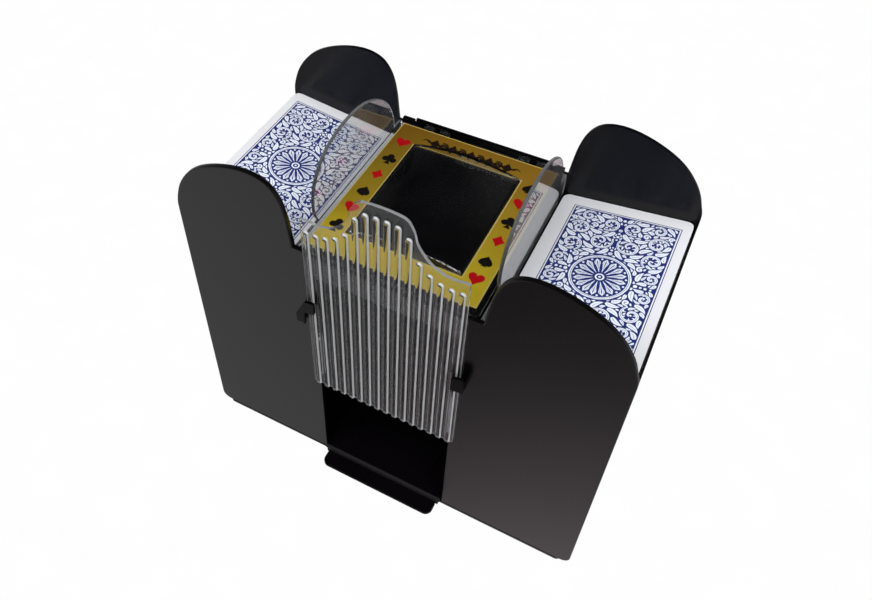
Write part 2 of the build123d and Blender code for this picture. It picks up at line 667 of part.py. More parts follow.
def switch_body():
    body = box(SW_X - 6.0, SW_X + 6.0, 37.0, HALF_D + 0.05, SW_Z - 9.5, SW_Z + 9.5)
    body += box(SW_X - 7.6, SW_X + 7.6, HALF_D + SEAT_GAP, BEZEL_Y, SW_Z - 11.2, SW_Z + 11.2)
    body -= box(SW_X - 4.6, SW_X + 4.6, HALF_D - 7.0, HALF_D + 3, SW_Z - 8.4, SW_Z + 8.4)
    body -= cyl_x(1.25, PIVOT_Y, SW_Z, SW_X - 5.5, SW_X + 5.5)
    rim = [e for e in body.edges() if abs(e.bounding_box().min.Y - BEZEL_Y) < 0.01
           and abs(e.center().Z - SW_Z) > 10.5]
    body = soften(body, rim, (0.5, 0.3))
    for x in (SW_X - SW_TAG_X, SW_X + SW_TAG_X):
        body += box(x - 1.2, x + 1.2, 32.0, 37.1, SW_Z - 0.4, SW_Z + 0.4)
    return body


def switch_rocker():
    rocker = along_x(poly(ROCKER), SW_X - 4.4, SW_X + 4.4)
    # laid on its side so that the face looks to the rear
    rocker = Pos(0, PIVOT_Y, SW_Z) * (Rot(-90, 0, 0) * rocker)
    rocker += cyl_x(1.2, PIVOT_Y, SW_Z, SW_X - 5.4, SW_X + 5.4)
    # tipped about its pivot
    return Pos(0, PIVOT_Y, SW_Z) * (Rot(-8, 0, 0) * (Pos(0, -PIVOT_Y, -SW_Z) * rocker))


save("switch_body", switch_body())
save("switch_rocker", switch_rocker())

# ---------------------------------------------------------------- lid
LID_HALF_W = 42.4
LID_Z0, LID_Z1 = 163.9, 165.5
LID_Y0, LID_Y1 = -51.0, 45.6
HINGE_Y, HINGE_Z = 48.2, 164.6
PIN_R = 0.9
LUG_R = 1.9
LABEL_HALF_W, LABEL_Y0, LABEL_Y1 = 40.0, -47.7, 45.3
LABEL_T = 0.3
WINDOW_HALF_W, WINDOW_Y0, WINDOW_Y1 = 27.8, -34.8, 32.2
DOME_Z = LID_Z1 + SEAT_GAP        # underside of the dome and the label
DOME_H = 5.2
DOME_RIM = 0.9                    # straight part below the arch
DOME_T = 1.2
# x ranges along the hinge
LUGS = [(-29.0, -23.6), (-20.7, -16.3), (21.3, 26.6), (30.1, 33.8)]
KNUCKLES = [(-23.5, -20.8), (26.7, 30.0)]
PINS = [(-29.6, -15.7), (20.7, 34.4)]


def window_box(inset, z0, z1):
    """Block over the lid window, drawn in by the inset on all four sides."""
    half = WINDOW_HALF_W - inset
    return box(-half, half, WINDOW_Y0 + inset, WINDOW_Y1 - inset, z0, z1)


def lid_plate():
    lid = box(-LID_HALF_W, LID_HALF_W, LID_Y0, LID_Y1, LID_Z0, LID_Z1)
    lid = soften(lid, lid.edges().filter_by(Axis.Z), (1.5,))
    lid -= window_box(1.4, LID_Z0 - 1, LID_Z1 + 1)
    for x0, x1 in LUGS:
        lug = box(x0, x1, LID_Y1 - 1.0, HINGE_Y, LID_Z0, LID_Z1)
        lid += lug + cyl_x(LUG_R, HINGE_Y, HINGE_Z, x0, x1)
    for x0, x1 in LUGS:
        lid -= cyl_x(PIN_R + RUN_CLEAR, HINGE_Y, HINGE_Z, x0 - 1, x1 + 1)
    return lid


def gold_label():
    label = box(-LABEL_HALF_W, LABEL_HALF_W, LABEL_Y0, LABEL_Y1, DOME_Z, DOME_Z + LABEL_T)
    return label - window_box(0.0, 160, 170)


def dome_block(inset, z0, rise):
    """Block with an arched top, drawn in by the inset on all four sides."""
    half = WINDOW_HALF_W - inset
    rim_z = DOME_Z + DOME_RIM
    arch = make_face([ThreePointArc((-half, rim_z), (0, rim_z + rise), (half, rim_z)),
                      Line((half, rim_z), (-half, rim_z))])
    block = along_y(arch, WINDOW_Y0 + inset, WINDOW_Y1 - inset)
    block += window_box(inset, z0, rim_z + 0.02)
    return block


def dome_window():
    rise = DOME_H - DOME_RIM
    dome = dome_block(0.1, DOME_Z, rise)
    dome -= dome_block(0.1 + DOME_T, DOME_Z - 1, rise - DOME_T)
    return dome


def hinge_bar():
    z0 = SHOULDER_Z + SEAT_GAP
    bar = box(-35.5, 35.5, 50.3, HALF_D, z0, SHOULDER_Z + 3.4)
    bar = soften(bar, bar.edges().filter_by(Axis.X).sort_by(Axis.Z)[-2:], (0.8, 0.5))
    for side in (1, -1):
        lobe = box(side * 36.6, side * 43.0, 50.2, HALF_D, z0, SHOULDER_Z + 2.3)
        top = [e for e in lobe.edges() if e.center().Z > SHOULDER_Z + 2.2]
        lobe = soften(lobe, top, (0.6, 0.4))
        bar += lobe + box(side * 35.0, side * 37.0, 50.3, HALF_D, z0, SHOULDER_Z + 0.7)
    for x0, x1 in KNUCKLES:
        knuckle = cyl_x(LUG_R, HINGE_Y, HINGE_Z, x0, x1)
        bar += knuckle + box(x0, x1, HINGE_Y, 51.0, HINGE_Z - 1.5, HINGE_Z + 1.6)
        bar -= cyl_x(PIN_R + PRESS_CLEAR, HINGE_Y, HINGE_Z, x0 - 1, x1 + 1)
    return bar


save("lid_plate", lid_plate())
save("gold_label", gold_label())
save("dome_window", dome_window())
save("hinge_bar", hinge_bar())
save("hinge_pins", group([cyl_x(PIN_R, HINGE_Y, HINGE_Z, x0, x1) for x0, x1 in PINS]))

# ---------------------------------------------------------------- front door
DOOR_HALF_W = 38.5
DOOR_Z0 = 69.2
DOOR_Y1 = -52.5           # back face
DOOR_T = 1.4
DOOR_Y0 = DOOR_Y1 - DOOR_T
RIB_N = 16
RIB_R = 1.55
DOOR_TAB_Z = 208.8        # top of the door at its centre
# right half of the top edge, from the corner to the tab: x, z
DOOR_TOP = [(DOOR_HALF_W, 185.2), (32.4, 184.6), (26.2, 185.6), (20.4, 189.2), (16.9, 193.7),
            (15.1, 197.3), (14.1, 201.8), (12.3, 205.4), (9.3, 208.0)]


def door_profile():
    left = mirrored(DOOR_TOP)
    return make_face([
        Spline(*DOOR_TOP, tangents=[(-1.0, 0.02), (-0.75, 0.35)]),
        ThreePointArc(DOOR_TOP[-1], (0, DOOR_TAB_Z), left[0]),
        Spline(*left, tangents=[(-0.75, -0.35), (-1.0, -0.02)]),
        Line(left[-1], (-DOOR_HALF_W, DOOR_Z0)),
        Line((-DOOR_HALF_W, DOOR_Z0), (DOOR_HALF_W, DOOR_Z0)),
        Line((DOOR_HALF_W, DOOR_Z0), DOOR_TOP[0]),
    ])


def door_top_at(x):
    """Height of the top edge at x, by straight lines between its points."""
    points = [(0.0, DOOR_TAB_Z)] + DOOR_TOP[::-1]
    for (x0, z0), (x1, z1) in zip(points, points[1:]):
        if abs(x) <= x1:
            return z0 + (z1 - z0) * (abs(x) - x0) / (x1 - x0)


def front_door():
    door = along_y(door_profile(), DOOR_Y0, DOOR_Y1)
    # round-ended ribs on the front face
    pitch = 2 * (DOOR_HALF_W - 0.2) / RIB_N
    rib_y = DOOR_Y0 + 0.25
    rib_z0 = DOOR_Z0 + 0.4
    front_space = box(-60, 60, DOOR_Y0 - 6, DOOR_Y0 + 0.05, 40, 230)
    for k in range(RIB_N):
        x = -DOOR_HALF_W + 0.2 + pitch * (k + 0.5)
        rib_z1 = min(door_top_at(x - 1.2), door_top_at(x + 1.2)) - 5.0 - RIB_R
        rib = cyl_z(RIB_R, x, rib_y, rib_z0, rib_z1)
        for z in (rib_z1, rib_z0):
            rib = rib + Pos(x, rib_y, z) * Sphere(RIB_R)
        door += rib & front_space
    # runners behind the opening edges keep the door against the panel
    for side in (1, -1):
        for x1, y0 in ((35.4, DOOR_Y1 - 0.1), (38.2, -INNER_Y + 0.3)):
            door += box(side * 34.0, side * x1, y0, -INNER_Y + 1.4, 76.0, 104.0)
    return door


# hooks over the door edges, the left one higher than the right one: x, z
CLIP_Y0, CLIP_Y1 = -57.4, -56.0
LEFT_HOOK = [(-33.0, 136.0), (-37.8, 135.4), (-42.9, 125.2), (-42.9, 121.5), (-38.6, 119.0),
             (-38.2, 127.6), (-33.0, 129.0)]
RIGHT_HOOK = [(35.8, 117.3), (41.4, 118.0), (42.4, 122.0), (41.4, 127.5), (38.5, 127.0),
              (35.8, 125.5)]


def door_clip(hook, x0, x1, z0, z1):
    """Hook plate on a block that reaches back to the panel."""
    return along_y(poly(hook), CLIP_Y0, CLIP_Y1) + box(x0, x1, CLIP_Y0, -HALF_D, z0, z1)


save("front_door", front_door())
save("left_door_clip", door_clip(LEFT_HOOK, -42.9, -39.1, 119.6, 124.8))
save("right_door_clip", door_clip(RIGHT_HOOK, 39.1, 41.9, 118.2, 124.2))

# ---------------------------------------------------------------- catch tray
CATCH_Z0 = FLOOR_Z + 0.2
CATCH_Z1 = CATCH_Z0 + 1.4
CATCH_Y0, LIP_Y1 = -54.0, -52.6   # front lip
TONGUE_Z0, TONGUE_T = 0.4, 2.0
TONGUE_Z1 = TONGUE_Z0 + TONGUE_T


def catch_tray():
    tray = box(-35.4, 35.4, CATCH_Y0, 46.0, CATCH_Z0, CATCH_Z1)
    tray += box(-34.6, 34.6, CATCH_Y0, LIP_Y1, TONGUE_Z0, CATCH_Z1)
    tongue = extrude(RectangleRounded(67.0, 11.0, 4.0), amount=TONGUE_T)
    tongue = Pos(0, -57.0, TONGUE_Z0) * tongue
    tray += tongue - box(-40, 40, LIP_Y1, -40, -1, 10)
    rim = [e for e in edges_at(tray, "Z", TONGUE_Z1) if e.center().Y < -55]
    tray = soften(tray, rim, (0.6, 0.4))
    for x in (-24.0, 24.0):
        tray += box(x - 0.8, x + 0.8, -46.0, 44.0, CATCH_Z1 - 0.1, CATCH_Z1 + 0.5)
    return tray


save("catch_tray", catch_tray())

# ---------------------------------------------------------------- wiring
WIRE_R = 0.6
CELL_WIRE_X = BAY_X1 + 0.7
MOTOR_WIRE_Y, MOTOR_WIRE_Z = 8.2, MOTOR_Z - 1.0
SW_WIRE_Y, SW_WIRE_Z = 34.9, SW_Z - 1.05
CROSS_X, CROSS_Y, CROSS_Z = 43.4, 31.0, FLOOR_Z - 0.7   # run in the floor groove
TAG_X0, TAG_X1 = SHAFT_X - MOTOR_TAG_X, SHAFT_X + MOTOR_TAG_X
SW_TAG_X0, SW_TAG_X1 = SW_X - SW_TAG_X, SW_X + SW_TAG_X

WIRE_PATHS = [
    # right cells to the switch
    [(CELL_WIRE_X, -CELL_Y, CELL_Z), (CELL_WIRE_X, -CELL_Y, 34.0), (CELL_WIRE_X, SW_WIRE_Y, 34.0),
     (SW_TAG_X1, SW_WIRE_Y, 40.0), (SW_TAG_X1, SW_WIRE_Y, SW_WIRE_Z)],
    # switch to the right motor
    [(SW_TAG_X0, SW_WIRE_Y, SW_WIRE_Z), (SW_TAG_X0, SW_WIRE_Y, 44.0), (SW_TAG_X0, 9.0, 44.0),
     (TAG_X1, MOTOR_WIRE_Y, 50.0), (TAG_X1, MOTOR_WIRE_Y, MOTOR_WIRE_Z)],
    # left motor to right motor, through the floor groove
    [(-TAG_X0, MOTOR_WIRE_Y, MOTOR_WIRE_Z), (-TAG_X0, MOTOR_WIRE_Y, 36.0),
     (-CROSS_X, CROSS_Y, 34.0), (-CROSS_X, CROSS_Y, CROSS_Z), (CROSS_X, CROSS_Y, CROSS_Z),
     (CROSS_X, CROSS_Y, 34.0), (TAG_X0, MOTOR_WIRE_Y, 36.0), (TAG_X0, MOTOR_WIRE_Y, MOTOR_WIRE_Z)],
    # left cells to the left motor
    [(-CELL_WIRE_X, -CELL_Y, CELL_Z), (-CELL_WIRE_X, -CELL_Y, 33.4),
     (-TAG_X1, MOTOR_WIRE_Y, 38.0), (-TAG_X1, MOTOR_WIRE_Y, MOTOR_WIRE_Z)],
]


def wire(points):
    """A round wire along straight runs, with a ball at each bend."""
    out = None
    for a, b in zip(points, points[1:]):
        start = Vector(*a)
        run = Vector(*b) - start
        rod = Cylinder(WIRE_R, run.length)
        rod = Plane(origin=start, z_dir=run) * Pos(0, 0, run.length / 2) * rod
        out = rod if out is None else out + rod
    for point in points[1:-1]:
        out += Pos(*point) * Sphere(WIRE_R)
    return out


save("wiring", group([wire(points) for points in WIRE_PATHS]))
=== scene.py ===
import bpy
import bmesh
import json
import math
import random
import numpy as np
from mathutils import Matrix, Vector


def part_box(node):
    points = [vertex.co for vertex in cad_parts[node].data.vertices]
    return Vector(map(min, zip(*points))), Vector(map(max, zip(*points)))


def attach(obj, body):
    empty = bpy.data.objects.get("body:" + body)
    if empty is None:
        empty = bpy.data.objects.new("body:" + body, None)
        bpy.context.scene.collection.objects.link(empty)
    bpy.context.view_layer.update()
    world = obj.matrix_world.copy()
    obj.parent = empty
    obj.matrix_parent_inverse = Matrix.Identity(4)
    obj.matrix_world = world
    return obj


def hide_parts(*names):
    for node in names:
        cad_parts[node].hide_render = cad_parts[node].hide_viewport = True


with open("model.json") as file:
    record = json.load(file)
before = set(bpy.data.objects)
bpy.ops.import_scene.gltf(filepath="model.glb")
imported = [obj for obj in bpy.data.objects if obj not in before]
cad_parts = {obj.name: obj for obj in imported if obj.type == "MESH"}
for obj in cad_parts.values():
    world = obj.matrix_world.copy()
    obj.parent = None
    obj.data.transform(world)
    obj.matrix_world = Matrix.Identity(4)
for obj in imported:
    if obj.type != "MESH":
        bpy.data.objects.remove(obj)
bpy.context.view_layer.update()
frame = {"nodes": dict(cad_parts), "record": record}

MM = 0.001
NODES = frame["nodes"]
SLOT = {s["node"]: s["material_slot"] for s in frame["record"]["subparts"]}


# ============================================================ node helpers
class Graph:
    """Small helper for building a procedural material."""

    def __init__(self, name):
        self.mat = bpy.data.materials.new(name)
        self.mat.use_nodes = True
        self.nt = self.mat.node_tree
        self.nt.nodes.clear()
        self.out = self.nt.nodes.new("ShaderNodeOutputMaterial")
        self.geo = self.nt.nodes.new("ShaderNodeNewGeometry")
        self.tex = self.nt.nodes.new("ShaderNodeTexCoord")
        self.pos = self.tex.outputs["Object"]

    def node(self, kind, **kw):
        n = self.nt.nodes.new(kind)
        for k, v in kw.items():
            if k.startswith("in_"):
                key = k[3:].replace("_", " ")
                sock = n.inputs[key] if key in n.inputs else n.inputs[int(key)]
                self.set(sock, v)
            else:
                setattr(n, k, v)
        return n

    def set(self, sock, v):
        if isinstance(v, bpy.types.NodeSocket):
            self.nt.links.new(v, sock)
        elif isinstance(v, (tuple, list)) and len(v) == 3 and getattr(sock, "type", "") == "RGBA":
            sock.default_value = (*v, 1.0)
        else:
            sock.default_value = v

    def math(self, op, a, b=None, c=None, clamp=False):
        n = self.nt.nodes.new("ShaderNodeMath")
        n.operation = op
        n.use_clamp = clamp
        self.set(n.inputs[0], a)
        if b is not None:
            self.set(n.inputs[1], b)
        if c is not None:
            self.set(n.inputs[2], c)
        return n.outputs[0]

    def noise(self, scale, detail=4.0, rough=0.55, vec=None, out="Fac"):
        n = self.nt.nodes.new("ShaderNodeTexNoise")
        n.inputs["Scale"].default_value = scale
        n.inputs["Detail"].default_value = detail
        n.inputs["Roughness"].default_value = rough
        self.nt.links.new(vec if vec is not None else self.pos, n.inputs["Vector"])
        return n.outputs[out]

    def voronoi(self, scale, feature="F1", out="Distance", vec=None):
        n = self.nt.nodes.new("ShaderNodeTexVoronoi")
        n.feature = feature
        n.inputs["Scale"].default_value = scale
        self.nt.links.new(vec if vec is not None else self.pos, n.inputs["Vector"])
        return n.outputs[out]

    def ramp(self, fac, stops, interp="LINEAR"):
        n = self.nt.nodes.new("ShaderNodeValToRGB")
        n.color_ramp.interpolation = interp
        els = n.color_ramp.elements
        while len(els) < len(stops):
            els.new(0.5)
        for e, (p, c) in zip(els, stops):
            e.position = p
            e.color = (*c, 1.0) if len(c) == 3 else c
        self.set(n.inputs[0], fac)
        return n.outputs[0]

    def mapr(self, v, a, b, c, d):
        n = self.nt.nodes.new("ShaderNodeMapRange")
        self.set(n.inputs[0], v)
        for i, x in zip((1, 2, 3, 4), (a, b, c, d)):
            self.set(n.inputs[i], x)
        return n.outputs[0]

    def mix(self, fac, a, b, blend="MIX"):
        n = self.nt.nodes.new("ShaderNodeMix")
        n.data_type = "RGBA"
        n.blend_type = blend
        self.set(n.inputs[0], fac)
        self.set(n.inputs[6], a)
        self.set(n.inputs[7], b)
        return n.outputs[2]

    def scaled(self, sx, sy, sz):
        n = self.nt.nodes.new("ShaderNodeVectorMath")
        n.operation = "MULTIPLY"
        self.nt.links.new(self.pos, n.inputs[0])
        n.inputs[1].default_value = (sx, sy, sz)
        return n.outputs[0]

    def axis(self, i):
        n = self.nt.nodes.new("ShaderNodeSeparateXYZ")
        self.nt.links.new(self.pos, n.inputs[0])
        return n.outputs[i]

    def bump(self, height, strength=0.2, dist=0.0002, normal=None):
        n = self.nt.nodes.new("ShaderNodeBump")
        n.inputs["Strength"].default_value = strength
        n.inputs["Distance"].default_value = dist
        self.nt.links.new(height, n.inputs["Height"])
        if normal is not None:
            self.nt.links.new(normal, n.inputs["Normal"])
        return n.outputs[0]

    def bevel(self, radius, samples=4):
        n = self.nt.nodes.new("ShaderNodeBevel")
        n.samples = samples
        n.inputs["Radius"].default_value = radius
        return n.outputs[0]

    def edge(self, bevel_normal, lo=0.02, hi=0.25):
        """1 on edges, where the bevelled normal leaves the true one."""
        d = self.nt.nodes.new("ShaderNodeVectorMath")
        d.operation = "DOT_PRODUCT"
        self.nt.links.new(bevel_normal, d.inputs[0])
        self.nt.links.new(self.geo.outputs["Normal"], d.inputs[1])
        one = self.math("SUBTRACT", 1.0, d.outputs["Value"])
        return self.mapr(one, lo, hi, 0.0, 1.0)

    def bsdf(self, **kw):
        b = self.nt.nodes.new("ShaderNodeBsdfPrincipled")
        names = {"color": "Base Color", "rough": "Roughness", "metal": "Metallic", "normal": "Normal",
                 "spec": "Specular IOR Level", "ior": "IOR", "trans": "Transmission Weight",
                 "coat": "Coat Weight", "coat_rough": "Coat Roughness", "coat_normal": "Coat Normal",
                 "sheen": "Sheen Weight", "sss": "Subsurface Weight", "sss_scale": "Subsurface Scale",
                 "aniso": "Anisotropic", "alpha": "Alpha", "emit": "Emission Color", "emit_s": "Emission Strength",
                 "sss_radius": "Subsurface Radius"}
        for k, v in kw.items():
            self.set(b.inputs[names[k]], v)
        self.nt.links.new(b.outputs[0], self.out.inputs[0])
        return b


# ============================================================ materials
MATS = {}


def moulded(name, base, rough=0.3, tint=None, grain=2600.0, grain_s=0.06, bevel=0.0006, worn=0.35, spec=0.5, coat=0.0, height=False, dusty=0.10, lip=None):
    """Injection moulded plastic: fine skin texture, slow flow variation, handled edges, a little dust."""
    g = Graph(name)
    flow = g.noise(9.0, 3.0)
    fine = g.noise(grain, 2.0, 0.6)
    smear = g.noise(46.0, 4.0, 0.62, g.scaled(1.0, 1.0, 0.35))
    bev = g.bevel(bevel)
    edge = g.edge(bev)
    tint = tint or tuple(min(1.0, c * 1.55 + 0.004) for c in base)
    col = g.mix(g.mapr(flow, 0.35, 0.7, 0.0, 1.0), base, tint)
    if lip:
        # painted highlight: the top and front of the raised front lip are painted paler than the rest
        lip_highlight_mask = g.math("MULTIPLY", g.math("LESS_THAN", g.axis(1), -0.0525), g.math("GREATER_THAN", g.axis(2), 0.00245))
        col = g.mix(lip_highlight_mask, col, lip)
    # painted shade: the colour darkens towards the bottom
    if height:
        z = g.mapr(g.axis(2), 0.0, 0.2, 0.0, 1.0)
        col = g.mix(z, tuple(c * 0.86 for c in base), col)
    col = g.mix(g.math("MULTIPLY", edge, worn), col, tuple(min(1.0, c * 2.4 + 0.004) for c in base))
    speck = g.mapr(g.voronoi(900.0), 0.0, 0.12, 1.0, 0.0)
    dust = g.math("MULTIPLY", g.math("MULTIPLY", speck, g.mapr(g.noise(30.0), 0.55, 0.75, 0.0, 1.0)), dusty)
    col = g.mix(dust, col, (0.35, 0.34, 0.33))
    r = g.math("ADD", g.mapr(smear, 0.3, 0.75, rough * 0.85, rough * 1.2), g.math("MULTIPLY", edge, 0.05))
    nrm = g.bump(fine, grain_s, 0.00006, bev)
    nrm = g.bump(flow, 0.05, 0.0008, nrm)
    g.bsdf(color=col, rough=r, normal=nrm, spec=g.math("MULTIPLY", g.math("SUBTRACT", 1.0, g.math("MULTIPLY", edge, 0.6)), spec),
           coat=coat, coat_rough=0.12, ior=1.5)
    MATS[name] = g.mat
    return g.mat


def clear(name, tint, rough=0.02, haze=0.05, ior=1.47, ripple=0.10, scratch=0.05, frost=0.0, flank=0.0, plain=0.0):
    """Clear moulded styrene: slight haze, moulding ripples and hair scratches; light passes to what lies behind it."""
    g = Graph(name)
    rip = g.noise(60.0, 2.0, 0.5)
    scr = g.noise(900.0, 2.0, 0.6, g.scaled(1.0, 1.0, 0.04))
    hazy = g.mapr(g.noise(25.0, 4.0), 0.35, 0.75, 0.0, 1.0)
    nrm = g.bump(rip, ripple, 0.0003)
    nrm = g.bump(scr, scratch, 0.00003, nrm)
    glass = g.node("ShaderNodeBsdfPrincipled")
    g.set(glass.inputs["Base Color"], tint)
    g.set(glass.inputs["Roughness"], g.mapr(hazy, 0.0, 1.0, rough, rough + 0.05))
    g.set(glass.inputs["IOR"], ior)
    g.set(glass.inputs["Transmission Weight"], 1.0)
    g.set(glass.inputs["Normal"], nrm)
    veil = g.node("ShaderNodeBsdfPrincipled")
    g.set(veil.inputs["Base Color"], (0.8, 0.82, 0.84))
    g.set(veil.inputs["Roughness"], 0.35)
    mixn = g.node("ShaderNodeMixShader")
    veil_amount = g.math("MULTIPLY", g.math("ADD", 0.35, hazy), haze)
    if frost:
        # sawn and moulded rims that look up scatter some light
        up = g.nt.nodes.new("ShaderNodeSeparateXYZ")
        g.nt.links.new(g.geo.outputs["Normal"], up.inputs[0])
        if flank:
            # the flanks and rounded ends of the ribs keep the soft grain of the mould; the veil is strongest on
            # right-facing flanks and on the rib ends, a painted highlight
            ring = g.math("SQRT", g.math("ADD", g.math("MULTIPLY", up.outputs[0], up.outputs[0]), g.math("MULTIPLY", up.outputs[2], up.outputs[2])))
            highlight_lean = g.math("ADD", up.outputs[0], g.math("MULTIPLY", g.math("ABSOLUTE", up.outputs[2]), 0.8))
            veil_amount = g.math("ADD", veil_amount, g.math("MULTIPLY", g.mapr(ring, 0.54, 0.76, 0.0, flank), g.math("MULTIPLY", g.mapr(highlight_lean, -0.25, 0.45, 0.2, 1.0), g.mapr(ring, 0.985, 0.998, 1.0, 0.42))))
        else:
            veil_amount = g.math("ADD", veil_amount, g.mapr(g.math("ABSOLUTE", up.outputs[2]), 0.25, 0.8, 0.0, frost))
    g.set(mixn.inputs[0], veil_amount)
    if plain:
        # part of the surface mirrors nothing: the sheet is thin and its two mirror images fade out
        bare = g.node("ShaderNodeBsdfRefraction")
        g.set(bare.inputs["Color"], tint)
        g.set(bare.inputs["Roughness"], rough)
        g.set(bare.inputs["IOR"], ior)
        g.set(bare.inputs["Normal"], nrm)
        both = g.node("ShaderNodeMixShader")
        g.set(both.inputs[0], plain)
        g.nt.links.new(glass.outputs[0], both.inputs[1])
        g.nt.links.new(bare.outputs[0], both.inputs[2])
        g.nt.links.new(both.outputs[0], mixn.inputs[1])
    else:
        g.nt.links.new(glass.outputs[0], mixn.inputs[1])
    g.nt.links.new(veil.outputs[0], mixn.inputs[2])
    # shadow rays pass mostly straight through, as through thin sheet
    lp = g.node("ShaderNodeLightPath")
    tr = g.node("ShaderNodeBsdfTransparent")
    g.set(tr.inputs[0], tuple(0.93 * c for c in tint))
    m2 = g.node("ShaderNodeMixShader")
    g.set(m2.inputs[0], g.math("MULTIPLY", lp.outputs["Is Shadow Ray"], 0.9))
    g.nt.links.new(mixn.outputs[0], m2.inputs[1])
    g.nt.links.new(tr.outputs[0], m2.inputs[2])
    g.nt.links.new(m2.outputs[0], g.out.inputs[0])
    MATS[name] = g.mat
    return g.mat


def metal(name, base, rough=0.3, brush=(1.0, 40.0, 1.0), strength=0.08, dark=None, bevel=0.00025):
    g = Graph(name)
    br = g.noise(700.0, 3.0, 0.6, g.scaled(*[1.0 / b if b > 1 else 1.0 for b in brush]))
    blot = g.noise(120.0, 3.0)
    bev = g.bevel(bevel)
    edge = g.edge(bev)
    col = g.mix(g.mapr(blot, 0.35, 0.7, 0.0, 1.0), base, dark or tuple(c * 0.78 for c in base))
    col = g.mix(g.math("MULTIPLY", edge, 0.5), col, tuple(min(1, c * 1.35) for c in base))
    r = g.mapr(br, 0.3, 0.7, rough * 0.7, rough * 1.3)
    g.bsdf(color=col, rough=r, metal=1.0, normal=g.bump(br, strength, 0.00005, bev), aniso=0.4)
    MATS[name] = g.mat
    return g.mat


def rubber(name, base):
    g = Graph(name)
    fine = g.noise(1800.0, 3.0)
    bev = g.bevel(0.0004)
    dust = g.mapr(g.noise(90.0, 4.0), 0.45, 0.75, 0.0, 0.35)
    col = g.mix(dust, base, tuple(min(1.0, c * 3 + 0.05) for c in base))
    g.bsdf(color=col, rough=g.mapr(fine, 0.3, 0.7, 0.62, 0.85), normal=g.bump(fine, 0.35, 0.00008, bev), spec=0.35)
    MATS[name] = g.mat
    return g.mat


moulded("black_plastic", (0.0021, 0.0018, 0.0019), 0.24, tint=(0.0030, 0.0024, 0.0026), height=True, worn=0.15, coat=0.0, dusty=0.02)
# painted reflection: a copy of the panel's black plastic with a bluish base colour for the bluish reflection the rear
# panel shows
moulded("black_plastic_rear_reflection_tint", (0.0015, 0.0015, 0.0030), 0.24, tint=(0.0019, 0.0019, 0.0039), worn=0.15, spec=0.27, coat=0.0, dusty=0.02)
moulded("inner_black", (0.0005, 0.0005, 0.0006), 0.55, tint=(0.0009, 0.0009, 0.0010), grain_s=0.12, worn=0.15, spec=0.06, dusty=0.006)
# the tray's lip colour is a painted highlight for its raised front lip
moulded("tray_black", (0.0019, 0.0013, 0.0020), 0.42, tint=(0.0027, 0.0018, 0.0028), grain_s=0.12, worn=0.25, spec=0.10, dusty=0.01, lip=(0.021, 0.021, 0.0225))
moulded("clip_black", (0.0008, 0.0007, 0.0007), 0.42, tint=(0.0012, 0.0010, 0.0011), worn=0.5, spec=0.15, dusty=0.015)
moulded("white_nylon", (0.74, 0.73, 0.68), 0.42, tint=(0.68, 0.66, 0.58), worn=0.1, spec=0.45)
moulded("rocker_black", (0.012, 0.012, 0.012), 0.22, coat=0.3)
clear("clear_plastic", (0.97, 0.985, 0.98), 0.012, 0.002, 1.47, 0.03, 0.03, plain=0.4)
clear("clear_door", (0.955, 0.955, 0.965), 0.012, 0.004, 1.5, 0.0015, 0.002, frost=0.30, flank=0.68, plain=0.45)
clear("clear_guide", (0.91, 0.92, 0.94), 0.012, 0.034, 1.64, 0.02, 0.03, frost=0.07)
metal("steel", (0.56, 0.56, 0.58), 0.28, (1.0, 60.0, 1.0))
metal("steel_can", (0.50, 0.51, 0.53), 0.32, (1.0, 80.0, 1.0), 0.12)
metal("screw_steel", (0.42, 0.41, 0.39), 0.35, (1.0, 1.0, 1.0), 0.15)
metal("brass_gear", (0.72, 0.52, 0.2), 0.3, (1.0, 20.0, 1.0), 0.1)
metal("spring_steel", (0.66, 0.66, 0.67), 0.25)
rubber("roller_rubber", (0.018, 0.018, 0.019))
rubber("pad_rubber", (0.022, 0.022, 0.022))


def mat_gold():
    """Gold hot-foil print with fine foil grain; painted light: brighter at the front, deeper towards the hinge, the
    right half staying brighter further back.
    """
    g = Graph("gold_print")
    y = g.mapr(g.axis(1), -0.048, 0.046, 0.0, 1.0)
    x = g.mapr(g.axis(0), -0.040, 0.040, 0.0, 1.0)
    wob = g.math("ADD", y, g.mapr(g.noise(38.0, 3.0), 0.3, 0.7, -0.05, 0.05))
    # painted light and shade across the foil: front-to-back ramps, a brighter one for the right half
    left = g.ramp(wob, [(0.0, (0.44, 0.34, 0.016)), (0.13, (0.43, 0.32, 0.013)), (0.34, (0.27, 0.185, 0.010)), (0.70, (0.175, 0.112, 0.008)), (1.0, (0.140, 0.060, 0.004))])
    right = g.ramp(wob, [(0.0, (0.46, 0.355, 0.016)), (0.20, (0.43, 0.325, 0.016)), (0.55, (0.31, 0.20, 0.015)), (0.80, (0.25, 0.135, 0.011)), (1.0, (0.22, 0.112, 0.010))])
    col = g.mix(x, left, right)
    foil = g.noise(2300.0, 3.0, 0.7)
    col = g.mix(g.mapr(foil, 0.3, 0.7, 0.0, 0.08), col, (0.55, 0.40, 0.05))
    g.bsdf(color=col, rough=g.mapr(foil, 0.3, 0.7, 0.26, 0.4), metal=0.15, spec=0.25, coat=0.08, coat_rough=0.1,
           normal=g.bump(foil, 0.12, 0.00004))
    MATS["gold_print"] = g.mat


def mat_gold_edge():
    # painted highlight: a paler gold for the lines along the label's edges
    g = Graph("gold_edge_highlight")
    foil = g.noise(1500.0, 3.0, 0.7)
    g.bsdf(color=g.mix(foil, (0.72, 0.58, 0.20), (0.62, 0.47, 0.12)), rough=0.25, metal=0.3, coat=0.3, normal=g.bump(foil, 0.1, 0.00003))
    MATS["gold_edge_highlight"] = g.mat


